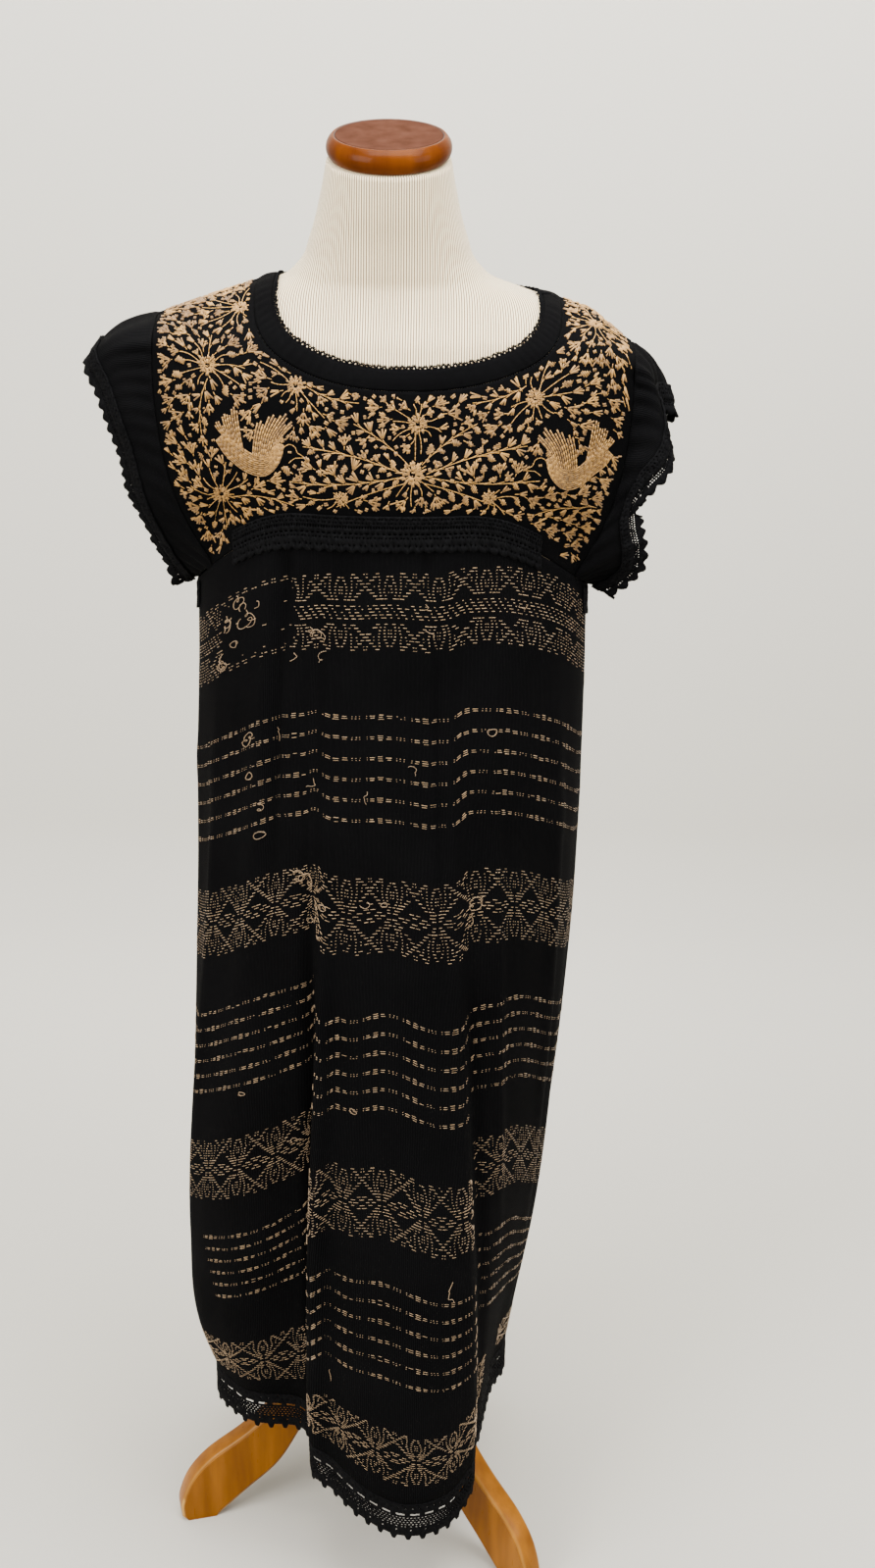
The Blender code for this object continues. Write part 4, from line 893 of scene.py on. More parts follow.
# %% Grounds that stitches are laid on
class Ground:
    """A surface sampled once on an even grid, so that thousands of stitches can find it."""

    def __init__(self, points, first, step):
        self.points, self.first, self.step = points, np.array(first), np.array(step)
        self.normals = grid_normals(points)

    def face(self, away):
        """Turns the normals so that they point the given way on the whole."""
        if np.sum(self.normals * away) < 0.0:
            self.normals = -self.normals
        return self

    def at(self, u, v, out=0.0):
        """Points at u and v, moved out along the surface's normal."""
        place_u = np.clip((u - self.first[0]) / self.step[0], 0.0, self.points.shape[1] - 1.001)
        place_v = np.clip((v - self.first[1]) / self.step[1], 0.0, self.points.shape[0] - 1.001)
        i, j = place_u.astype(int), place_v.astype(int)
        s, t = (place_u - i)[..., None], (place_v - j)[..., None]
        mixed = []
        for values in (self.points, self.normals):
            mixed.append((values[j, i] * (1 - s) + values[j, i + 1] * s) * (1 - t)
                         + (values[j + 1, i] * (1 - s) + values[j + 1, i + 1] * s) * t)
        return mixed[0] + unit(mixed[1]) * np.asarray(out)[..., None]


HALVES = {"front": -90.0, "back": 90.0}
GROUND_ANGLES, GROUND_FALLS, GROUND_END = 721, 421, 1.05
skirt_ground = {}
for half, start in HALVES.items():
    angles = np.radians(np.linspace(start, start + 180.0, GROUND_ANGLES))
    points = skirt_at(angles, np.linspace(0.0, GROUND_END, GROUND_FALLS)[:, None])
    steps = (math.pi / (GROUND_ANGLES - 1), GROUND_END / (GROUND_FALLS - 1))
    skirt_ground[half] = Ground(points, (math.radians(start), 0.0), steps).face(points * LEVEL)
print("grounds:", {half: ground.points.shape for half, ground in skirt_ground.items()})

# %% Skirt panels
PANEL_ROWS, PANEL_COLUMNS = 136, 144
SIDE_GAP = math.radians(0.07)
skirt_panels = {}
for half, start in HALVES.items():
    angles = np.radians(np.linspace(start, start + 180.0, PANEL_COLUMNS + 1))
    angles[0] += SIDE_GAP
    angles[-1] -= SIDE_GAP
    falls = np.linspace(0.0, 1.0, PANEL_ROWS + 1) ** 1.05
    grid = skirt_at(angles[None, :], falls[:, None])
    grid[0, :, 2] -= SEAM_GAP
    panel = wall("skirt_panel_" + half, grid, CLOTH, skirt_cotton, metres_of(grid))
    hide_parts("skirt_" + half)
    skirt_panels[half] = panel
    print(panel.name, len(panel.data.polygons), "faces")

# %% [markdown]
# ## The chest, the yoke and the neck
# The yoke is one smooth surface: at each x and height it has one depth, front or back. Its
# columns spread from the neck band to its sides and its seam, so the mesh never bunches up
# at the shoulders. A second way to name a place on it is x and the distance down from the
# shoulder ridge, measured on the cloth; the embroidery uses that, so its motifs keep their
# shape where the cloth turns over the shoulder.

# %% Chest points
YOKE_CREASES = [
    # name,            x,      z,     run_x, run_z, half,   out
    ("left_drag",    -0.165, 1.270,  0.35, 1.00, 0.0090, -0.0020),
    ("left_swell",   -0.130, 1.235,  0.60, 0.80, 0.0150,  0.0018),
    ("right_drag",    0.182, 1.260, -0.30, 1.00, 0.0090, -0.0022),
    ("right_swell",   0.150, 1.225, -0.50, 0.85, 0.0150,  0.0018),
    ("middle_hang",   0.030, 1.255,  0.05, 1.00, 0.0220, -0.0014),
    ("middle_left",  -0.052, 1.240, -0.10, 1.00, 0.0160,  0.0014),
    ("middle_right",  0.098, 1.240,  0.15, 1.00, 0.0160,  0.0013),
]
CREASE_LENGTH = 0.060


def ridge_z(x):
    return SHOULDER_TOP - SHOULDER_SLOPE * np.abs(x)


def chest_y(x, z, facing):
    side, front, back = table_at(CHEST, z)
    side = np.where(z >= SHOULDER_EDGE_Z, (SHOULDER_TOP - z) / SHOULDER_SLOPE, side)
    inside = np.maximum(0.0, 1.0 - (np.abs(x) / side) ** CHEST_POWER)
    return facing * np.where(facing < 0, front, back) * inside ** (1.0 / CHEST_POWER) + neck_shift(z)


def skirt_flat(angle, below=0.0):
    """The seam line, or a line a little above or below it, without the pleats."""
    fall = np.broadcast_to(np.maximum(0.0, below) / PANEL_LENGTH, angle.shape)
    left, right, front, back, _ = table_at(SKIRT, fall)
    side = np.where(np.sin(angle) < 0.0, left, right)
    radius = superellipse(angle, side, np.where(np.cos(angle) >= 0.0, front, back), SKIRT_POWER)
    return np.stack([radius * np.sin(angle), -radius * np.cos(angle), SEAM_Z - droop(angle) - below], axis=-1)


SEAM_LINE = {}
for facing, base, sign in ((-1, 0.0, 1.0), (1, math.pi, -1.0)):
    turn = base + sign * np.linspace(-1.5, 1.5, 1201)
    SEAM_LINE[facing] = (turn, skirt_flat(turn))


def seam_at(x, facing):
    """The seam's angle, depth and height at a given x."""
    angles, spots = SEAM_LINE[facing]
    x = np.clip(x, YOKE_CORNER_LEFT, YOKE_CORNER_RIGHT)
    return [np.interp(x, spots[:, 0], values) for values in (angles, spots[:, 1], spots[:, 2])]


def yoke_crease(x, z):
    total = 0.0
    for _, centre_x, centre_z, run_x, run_z, half, reach in YOKE_CREASES:
        across = ((x - centre_x) * run_z - (z - centre_z) * run_x) / half
        along = ((x - centre_x) * run_x + (z - centre_z) * run_z) / CREASE_LENGTH
        total = total + reach * np.exp(-across ** 2 - along ** 2)
    return total


def chest_at(x, z, facing):
    """Points of the yoke: on the chest above, and on the skirt's wall where they are sewn."""
    x, z = np.broadcast_arrays(np.asarray(x, float), np.asarray(z, float))
    _, seam_y, seam_z = seam_at(x, facing)
    above = z - seam_z
    blend = smooth((SEAM_BLEND_FROM - above) / (SEAM_BLEND_FROM - SEAM_BLEND_TO))
    depth = chest_y(x, z, facing) + facing * SEAM_GAP / 2.0
    y = depth * (1.0 - blend) + seam_y * blend + facing * yoke_crease(x, z) * smooth(above / 0.03)
    sag = SHOULDER_SAG * smooth((x - SHOULDER_SAG_FROM) / SHOULDER_SAG_SPAN)
    return np.stack([x, y, z - sag], axis=-1)


print("centre of the chest:", [round(float(c), 3) for c in chest_at(0.02, 1.26, -1)])

# %% Yoke panels
YOKE_FINE, YOKE_ROW_COUNT = 5, 48


def neck_turn(k):
    place_on = 2.0 * k / NECK_COLUMNS - 1.0
    return np.sign(place_on) * math.pi / 2.0 * (1.0 - (1.0 - np.abs(place_on)) ** NECK_CROWD)


def neck_point(turn, out, facing):
    """A point at a turn round the neck opening and a distance out from it."""
    low = (NECK_FRONT_Z if facing < 0 else NECK_BACK_Z) - out
    sine = np.sin(turn)
    x = NECK_SHIFT + (NECK_HALF + out) * np.sign(sine) * np.abs(sine) ** (2.0 / NECK_POWER)
    share = np.maximum(0.0, np.cos(turn)) ** (2.0 / NECK_POWER)
    end = ridge_z(x)
    return x, end - (end - low) * share


def yoke_outline(k, facing):
    """Where a column of the yoke ends: down its left side, along the seam, up its right side."""
    last = NECK_COLUMNS - SIDE_COLUMNS
    along = np.clip((k - SIDE_COLUMNS) / (last - SIDE_COLUMNS), 0.0, 1.0)
    x = YOKE_CORNER_LEFT + (YOKE_CORNER_RIGHT - YOKE_CORNER_LEFT) * along
    z = seam_at(x, facing)[2] + SEAM_GAP
    drop = np.clip(np.minimum(k, NECK_COLUMNS - k) / SIDE_COLUMNS, 0.0, 1.0) ** SIDE_CROWD
    top = np.where(k < NECK_COLUMNS / 2.0, YOKE_LEFT, YOKE_RIGHT)
    high = ridge_z(top)
    return top + (x - top) * drop ** EDGE_BEND, high + (z - high) * drop


def yoke_grid(facing, fine, rows):
    k = np.arange(NECK_COLUMNS * fine + 1) / fine
    inner_x, inner_z = neck_point(neck_turn(k), NECK_BAND + SEAM_GAP, facing)
    outer_x, outer_z = yoke_outline(k, facing)
    share = np.linspace(0.0, 1.0, rows + 1)[:, None]
    x, z = inner_x + (outer_x - inner_x) * share, inner_z + (outer_z - inner_z) * share
    z[:, 0], z[:, -1] = ridge_z(x[:, 0]), ridge_z(x[:, -1])
    return chest_at(x, z, facing)


FACINGS = {"front": -1, "back": 1}
yoke_panels = {}
for half, facing in FACINGS.items():
    grid = yoke_grid(facing, YOKE_FINE, YOKE_ROW_COUNT)
    flat_uv = np.stack([grid[..., 0], grid[..., 2]], axis=-1)
    panel = wall("yoke_panel_" + half, grid, CLOTH, yoke_cotton, flat_uv)
    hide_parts("yoke_" + half)
    yoke_panels[half] = panel
    print(panel.name, len(panel.data.polygons), "faces")

# %% Neck band
def neck_ring(out, fine=YOKE_FINE):
    """Points right round the neck opening, the front from left to right and then the back."""
    ring = []
    for facing, sign in ((-1, 1.0), (1, -1.0)):
        k = np.arange(NECK_COLUMNS * fine) / fine
        x, z = neck_point(sign * neck_turn(k), out, facing)
        ring.append(np.stack([x, chest_y(x, z, facing), z], axis=-1))
    return np.concatenate(ring)


BAND_ROWS, BAND_BELLY, GATHERS, GATHER_OUT = 9, 0.0012, 74, 0.0003
band_grid = np.array([neck_ring(NECK_BAND * share) for share in np.linspace(0.0, 1.0, BAND_ROWS)])
band_normals = grid_normals(band_grid, wraps=True)
columns = band_grid.shape[1]
turns = np.arange(columns) / columns * TAU
gather = np.sin(GATHERS * turns + 1.4 * np.sin(5 * turns) + 0.9 * np.sin(11 * turns))
belly = np.sin(np.linspace(0.0, math.pi, BAND_ROWS))[:, None]
if np.sum(band_normals[:, columns // 8, 1]) > 0.0:
    band_normals = -band_normals
band_grid = band_grid + band_normals * (GATHER_OUT * gather * (0.35 + belly) + BAND_BELLY * belly)[..., None]
neck_band = wall("gathered_neck_band", band_grid, CLOTH, yoke_cotton,
                 metres_of(band_grid, True), wraps=True, about=(NECK_SHIFT, NECK_BACK, 1.30))
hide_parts("neck_band")
print(neck_band.name, len(neck_band.data.polygons), "faces")

# %% [markdown]
# ## The sleeves
# A flutter cap is gathered into the armhole and hangs free. Its edge is a slanted loop: the
# left one stands out, and the right one droops in two waves. The grid starts from the few
# columns of the solid, gets finer on smooth curves, and then takes small gathers that run
# from the armhole and die away before the edge.

# %% Sleeve caps
SLEEVE_ROWS, SLEEVE_FINE, SLEEVE_ROW_FINE = 4, 9, 8
OUTWARD = {"left": -1.0, "right": 1.0}
SLEEVE_GATHERS = {
    # side: number of gathers, their depth at the armhole, drift
    "left": (33, 0.0011, 0.7),
    "right": (30, 0.0014, 1.9),
}


def armhole(side):
    """From the back underarm over the shoulder to the front one, and the shoulder's place."""
    out = OUTWARD[side]
    middle = out * math.pi / 2.0
    path = {}
    for facing in (-1, 1):
        k = np.arange(SIDE_COLUMNS + 1.0)
        x, z = yoke_outline(k if side == "left" else NECK_COLUMNS - k, facing)
        z[0] = ridge_z(x[0])
        edge = chest_at(x, z, facing)
        angle = float(seam_at(edge[-1, 0], facing)[0])
        gap = (middle - angle + math.pi) % TAU - math.pi
        turns = angle + gap * FOOT_REACH * np.arange(1, UNDERARM_STEPS + 1) / UNDERARM_STEPS
        under = skirt_at(turns, np.zeros(UNDERARM_STEPS))
        under[:, 2] += SLEEVE_SEAM + CLOTH
        path[facing] = np.concatenate([edge, under])
    edge = np.concatenate([path[1][::-1][:-1], path[-1]])
    top = len(path[1]) - 1
    edge[top, 1] = (path[1][0][1] + path[-1][0][1]) / 2.0
    edge[:, 0] += out * SLEEVE_SEAM
    return edge, top


def sleeve_edge(side, count, top):
    """The cuff line as a slanted loop with soft flutter, from its foot round over the tip."""
    tip_x, tip_z, foot_x, foot_z, depth, wave, waves, phase = SLEEVES[side]
    tip, foot = np.array([tip_x, NECK_BACK * 0.5, tip_z]), np.array([foot_x, 0.0, foot_z])
    middle, up = (tip + foot) / 2.0, (tip - foot) / 2.0
    outward = unit(np.array([up[2], 0.0, -up[0]]))
    outward = outward * math.copysign(1.0, tip_x * outward[0])
    k = np.arange(count)
    share = np.where(k <= top, (k - top) / top, (k - top) / (count - 1 - top))
    turn = math.pi * FOOT_REACH * share
    swell = wave * np.sin(waves * turn + phase) * smooth((math.pi - np.abs(turn)) / SLEEVE_FADE)
    return (middle + np.cos(turn)[:, None] * up + np.array([0.0, -depth, 0.0]) * np.sin(turn)[:, None]
            + outward * swell[:, None])


def sleeve_grid(side):
    edge, top = armhole(side)
    cuff = sleeve_edge(side, len(edge), top)
    rise = np.array([OUTWARD[side], 0.0, 1.0]) * SLEEVE_BELLY
    ease = np.sin(np.linspace(0.0, math.pi, len(edge)))[:, None]
    t = (np.arange(SLEEVE_ROWS + 1) / SLEEVE_ROWS)[:, None, None]
    coarse = edge * (1.0 - t) + cuff * t + rise * np.sin(math.pi * t) * ease
    grid = finer(coarse, SLEEVE_ROW_FINE, SLEEVE_FINE)
    normals = grid_normals(grid)
    centre = np.array([edge[:, 0].mean(), 0.0, edge[:, 2].mean()])
    normals = normals * (1.0 if np.sum(normals * (grid - centre)) > 0.0 else -1.0)
    count, depth, drift = SLEEVE_GATHERS[side]
    down = np.linspace(0.0, 1.0, grid.shape[0])[:, None]
    across = np.linspace(0.0, 1.0, grid.shape[1])[None, :]
    wander = 0.05 * np.sin(7.0 * across + drift) + 0.03 * np.sin(17.0 * across + 2.0 * drift)
    fine = np.sin(TAU * count * (across + wander * (0.4 + 0.3 * down)))
    broad = np.sin(TAU * count / 3.7 * across + 2.0 * drift)
    fade = smooth(down / 0.06) * (1.0 - 0.75 * smooth(down / 0.85))
    return grid + normals * (depth * (fine * fade + 0.9 * broad * smooth(down / 0.3)))[..., None], normals


sleeves = {}
for side in SLEEVES:
    grid, normals = sleeve_grid(side)
    arm = (float(np.mean(grid[0, :, 0])), 0.0, float(np.mean(grid[0, :, 2])))
    cap_piece = wall("flutter_sleeve_" + side, grid, CLOTH, skirt_cotton,
                     metres_of(grid), about=arm)
    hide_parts("sleeve_" + side)
    sleeves[side] = (cap_piece, grid, normals)
    print(cap_piece.name, len(cap_piece.data.polygons), "faces")

# %% [markdown]
# ## Stitches on the cloth
# A satin stitch is a short soft cord that rises from the cloth, crosses a little pad and
# dips in again. Each one here is a closed bar of eight triangles: a narrow foot, and a
# ridge that is shorter than the foot, so both ends slope down. `cords` makes any number of
# them at once, `stitches` lays them on a ground, and `sew_on` makes a piece of them. On the
# yoke a place is x and the length of cloth up from the level of the seam.

# %% Cords of thread
# the last of these is painted shade: how much darker a cord's foot is made than its ridge
YOKE_STEP, YOKE_LOWEST, PROFILE_STEPS, FOOT_PAINTED_SHADE = 0.0020, 1.105, 260, 0.55


def yoke_ground_for(facing):
    x = np.arange(YOKE_LEFT, YOKE_RIGHT + YOKE_STEP, YOKE_STEP)
    drop = np.linspace(0.0, 1.0, PROFILE_STEPS)[:, None] ** 2
    z = ridge_z(x) - (ridge_z(x) - YOKE_LOWEST) * drop
    sheet = chest_at(np.broadcast_to(x, z.shape), z, facing)
    step = np.linalg.norm(np.diff(sheet[..., 1:], axis=0), axis=2)
    fallen = np.concatenate([np.zeros((1, len(x))), np.cumsum(step, axis=0)])
    v = np.arange(-0.084, 0.262, YOKE_STEP)
    columns = []
    for i in range(len(x)):
        zero = np.interp(-SEAM_Z, -z[:, i], fallen[:, i])
        up = (zero - fallen[:, i])[::-1]
        depth_and_height = [np.interp(v, up, sheet[::-1, i, c]) for c in (1, 2)]
        columns.append(np.stack([np.full(len(v), x[i]), *depth_and_height], axis=1))
    points = np.stack(columns, axis=1)
    away = np.zeros_like(points)
    away[..., 1] = facing
    return Ground(points, (x[0], v[0]), (YOKE_STEP, YOKE_STEP)).face(away)


yoke_ground = {half: yoke_ground_for(facing) for half, facing in FACINGS.items()}


def cords(start, end, up, width, height, below=0.0002, inset=0.5):
    """Closed little bars with a ridge, eight triangles each, between two lists of points."""
    along = end - start
    length = np.maximum(np.linalg.norm(along, axis=1, keepdims=True), 1e-7)
    right = unit(np.cross(along, up))
    half = np.broadcast_to(width, (len(start),))[:, None] * 0.5 * right
    crown = np.broadcast_to(height, (len(start),))[:, None] * up
    reach = 2.0 * inset * np.linalg.norm(half, axis=1, keepdims=True)
    pull = along / length * np.minimum(0.38 * length, reach)
    low = up * below
    corners = (start - low - half, start - low + half, end - low + half, end - low - half,
               start + pull + crown, end - pull + crown)
    points = np.stack(corners, axis=1).reshape(-1, 3)
    first = np.arange(len(start))[:, None] * 6
    quads = np.concatenate([first + [1, 2, 5, 4], first + [3, 0, 4, 5], first + [0, 3, 2, 1]])
    return points, [quads, np.concatenate([first + [0, 1, 4], first + [2, 3, 5]])]


def stitches(ground, paths, width, height):
    """Cords that lie on a ground, from an (n, 2, 2) list of places."""
    ends, high = (ground.at(paths[..., 0], paths[..., 1], np.full(paths.shape[:2], lift))
                  for lift in (CLOTH, CLOTH + 0.001))
    return cords(ends[:, 0], ends[:, 1], unit((high - ends).mean(axis=1)), width, height)


def sew_on(name, ground, paths, width, height, tints, finish):
    """One piece of stitches; each has its own tone, and its foot is made darker than its ridge as painted
    shade between the cords.
    """
    points, faces = stitches(ground, paths, width, height)
    # painted shade: the four foot points of each cord get a lower tone than its two ridge points
    tints_with_painted_shade = np.clip(tints[:, None] - np.array([FOOT_PAINTED_SHADE] * 4 + [0.0] * 2), 0.0, 1.0).ravel()
    piece = add_mesh(name, points, faces, finish, values={"tint_and_shade": tints_with_painted_shade})
    print(piece.name, len(tints), "stitches")
    return piece


print("yoke grounds:", {half: ground.points.shape for half, ground in yoke_ground.items()})

# %% [markdown]
# ## The embroidered yoke
# A yoke like this is filled edge to edge: round flowers, branches of leaves and blossoms
# that leave them on thin stems, and two birds that face each other. These are the usual
# motifs of such work, in a layout of this script's own. A motif is a handful of satin
# stitches round its own middle. The flowers, birds and branches are placed one by one, and
# then blossoms, buds and knots fill every gap that is left, the largest first, each turned
# away from the nearest flower.

# %% Motifs as bundles of stitches
STEM_POINTS, STEM_STITCH = 25, 0.0042
THREAD, THREAD_PITCH, PAD_HEIGHT, STEM_THREAD = 0.00165, 0.00165, 0.0011, 0.00090


def rays(draw, inner, outer, spread, lobes, ragged=0.08, spacing=THREAD_PITCH):
    """Stitches that radiate over a fan, or all round when spread is a full turn."""
    count = max(3, int(round(spread * 0.5 * (inner + outer) / spacing)))
    turn = (np.arange(count) + 0.5 + draw.uniform(-0.3, 0.3, count)) / count * spread - spread / 2.0
    reach = outer * (0.85 + 0.15 * np.cos(lobes * turn)) * (1.0 + draw.uniform(-ragged, ragged, count))
    start = inner * (1.0 + draw.uniform(-0.15, 0.15, count))
    way = np.stack([np.sin(turn), np.cos(turn)], axis=1)
    return np.stack([way * start[:, None], way * reach[:, None]], axis=1)


def fan_blossom(draw, size):
    """A broad blossom in two tiers of stitches, with three ragged lobes."""
    spread = draw.uniform(1.5, 1.9)
    lobes = TAU / (spread / 3.0)
    bundle = np.concatenate([rays(draw, 0.10 * size, 1.10 * size, spread * 0.85, 0.0),
                             rays(draw, 0.95 * size, 1.95 * size, spread, lobes, 0.12)])
    return bundle - np.array([0.0, size])


def tooth(draw, size):
    """A narrow blossom that flares from its stem to a ragged end."""
    spread = draw.uniform(0.75, 1.15)
    bundle = rays(draw, 0.25 * size, 2.1 * size, spread, 0.0, 0.16, 0.8 * THREAD_PITCH)
    return bundle - np.array([0.0, 1.12 * size])


def rosette(draw, size):
    petals = int(draw.integers(8, 12))
    middle = draw.uniform(-0.30, 0.30, (7, 1, 2)) * size + draw.uniform(-0.0016, 0.0016, (7, 2, 2))
    return np.concatenate([rays(draw, 0.22 * size, 0.66 * size, TAU, 0.0), middle,
                           rays(draw, 0.56 * size, 1.04 * size, TAU, petals, 0.07)])


def leaf(draw, size):
    """Stitches that cross a leaf from tip to stalk, a little aslant."""
    length, half = 2.1 * size, 0.72 * size
    along = np.arange(0.0004, length, THREAD_PITCH)
    width = half * np.sin(math.pi * (along / length) ** 0.75) * (1.0 + draw.uniform(-0.15, 0.15, len(along)))
    slant = 0.45 * width
    start = np.stack([-width, along - slant], axis=1)
    end = np.stack([width, along + slant], axis=1)
    return np.stack([start, end], axis=1) - np.array([0.0, 0.5 * length])


def knot(draw, size):
    count = max(2, int(2.0 * size / THREAD_PITCH))
    x = (np.arange(count) - (count - 1) / 2.0) * THREAD_PITCH
    half = np.sqrt(np.maximum(0.2, 1.0 - (x / size) ** 2)) * size * (1.0 + draw.uniform(-0.15, 0.15, count))
    return np.stack([np.stack([x, -half], axis=1), np.stack([x, half], axis=1)], axis=1)


FINGER_NOTCH, FINGER_REACH = 0.22, (0.76, 0.92, 1.0, 0.84)


def lanes(draw, one_edge, other_edge, count, fingers=0, stitch=0.0050):
    """Rows of short stitches that follow a curved shape between its two edges.

    Where it has fingers, the rows between them stop short, as feathers part at a tip.
    """
    one, other = (smooth_stops(MM * np.array(edge, float), 12) for edge in (one_edge, other_edge))
    bundle = []
    for lane in range(count):
        share = (lane + 0.5) / count
        path = one + (other - one) * share
        run = length_run(path)
        finish = run[-1]
        if fingers:
            notch = 1.0 - abs(math.sin(math.pi * fingers * share)) ** 0.7
            finish *= (1.0 - FINGER_NOTCH * notch) * FINGER_REACH[int(share * fingers)]
        finish -= draw.uniform(0.0, 0.0015)
        for a in np.arange(draw.uniform(-stitch, 0.0), finish, stitch):
            begin, stop = max(a, 0.0), min(a + stitch * 1.1, finish)
            if stop - begin > 0.001:
                bundle.append([[np.interp(s, run, path[:, c]) for c in (0, 1)] for s in (begin, stop)])
    return np.array(bundle)


BIRD_PARTS = {
    # name: one edge and the other, in millimetres; rows of stitches; fingers
    "body":  ([(-40, 2), (-30, -13), (-12, -27), (6, -30), (19, -17), (24, 0)],
              [(-30, 10), (-21, 0), (-6, -9), (5, -11), (12, -7), (17, 5)], 10, 0),
    "tail":  ([(-27, 0), (-40, 14), (-45, 26)], [(-13, -9), (-17, 14), (-19, 34)], 11, 3),
    "wing":  ([(-6, -14), (-4, 8), (2, 34)], [(16, -10), (23, 8), (41, 26)], 12, 4),
}
BIRD_HEAD = [(19, -13), (22, -4), (28, 1), (34, -1), (36, -6), (43, -10), (34, -11), (28, -16)]
BIRD_EYE = (29, -6)
BIRD_DISCS = [
    # x, y and radius of the places a bird covers
    (-35, 12, 11), (-25, 14, 11), (-31, 26, 11), (-27, -2, 11), (-14, -12, 12), (2, -20, 12),
    (12, -14, 11), (6, -2, 10), (8, 12, 13), (14, 27, 12), (27, 22, 9), (30, -7, 10),
]


def bird(draw):
    return np.concatenate([lanes(draw, *part) for part in BIRD_PARTS.values()])


print("one rosette has", len(rosette(np.random.default_rng(1), 0.010)), "stitches; one bird",
      len(bird(np.random.default_rng(1))))

# %% Where the motifs go
MIRROR_X, RIGHT_DROP = 0.0275, 0.012
FLOWERS = [
    # name,        from the middle, height, size, branches
    ("heart",       0.000, 0.056, 0.0120, 12),
    ("collar",      0.000, 0.101, 0.0092, 11),
    ("neck",        0.107, 0.133, 0.0090, 11),
    ("shoulder",    0.188, 0.145, 0.0095, 13),
    ("corner",      0.176, 0.028, 0.0095, 13),
    ("top",         0.158, 0.208, 0.0085, 11),
    ("side",        0.066, 0.034, 0.0072, 8),
]
BIRD_AT = (0.140, 0.078, 0.98)      # from the middle, height, size
LONG_STEMS = [
    # starts from the middle and height, leaves at, bends by
    (0.010, 0.056, 0.100, 0.078, 0.008),
    (0.010, 0.054, 0.112, 0.046, -0.007),
    (0.008, 0.048, 0.070, 0.026, 0.004),
    (0.000, 0.068, 0.000, 0.092, 0.0),
    (0.006, 0.064, 0.055, 0.100, 0.006),
    (0.098, 0.131, 0.050, 0.118, 0.006),
    (0.110, 0.140, 0.128, 0.180, 0.006),
    (0.186, 0.135, 0.192, 0.084, 0.008),
    (0.174, 0.022, 0.166, -0.028, 0.003),
    (0.166, 0.026, 0.108, 0.024, -0.008),
]
NECK_MARGIN, SIDE_MARGIN, SEAM_MARGIN = 0.0045, 0.0050, 0.0035
LARGEST_FILL, SMALLEST_FILL, FILL_GAP, MOST_FILLINGS = 0.0080, 0.0016, 0.0013, 900
SMALLEST_BLOOM, BLOOM_GAP, BLOOM_STEP, STEM_HEIGHT, STEM_ROOM = 0.0028, 0.0007, 0.0003, 0.0004, 0.0008
FAN_FROM, FAN_FILL_FROM, MOTIF_FROM, STALK_FROM, LEAF_SHARE = 0.0042, 0.0050, 0.0027, 0.0026, 0.3
FADED_LEFT_OF, FADED_ABOVE, FADED_SHARE, FADED_TONE = -0.10, 0.165, 0.45, 0.12
SPRAY_FROM, SPRAY_SHORTEST, SPRAY_ROOM, SPRAY_BLOOM, SPRAY_GAP = 0.004, 0.0055, 0.0018, 0.0048, 0.0150
LACE_MIDDLE, LACE_REACH, BARE_SEAM = 0.01, 0.152, 0.004      # what the crochet band covers
print("placed by hand:", len(FLOWERS), "flowers and", len(LONG_STEMS), "long stems on each side")

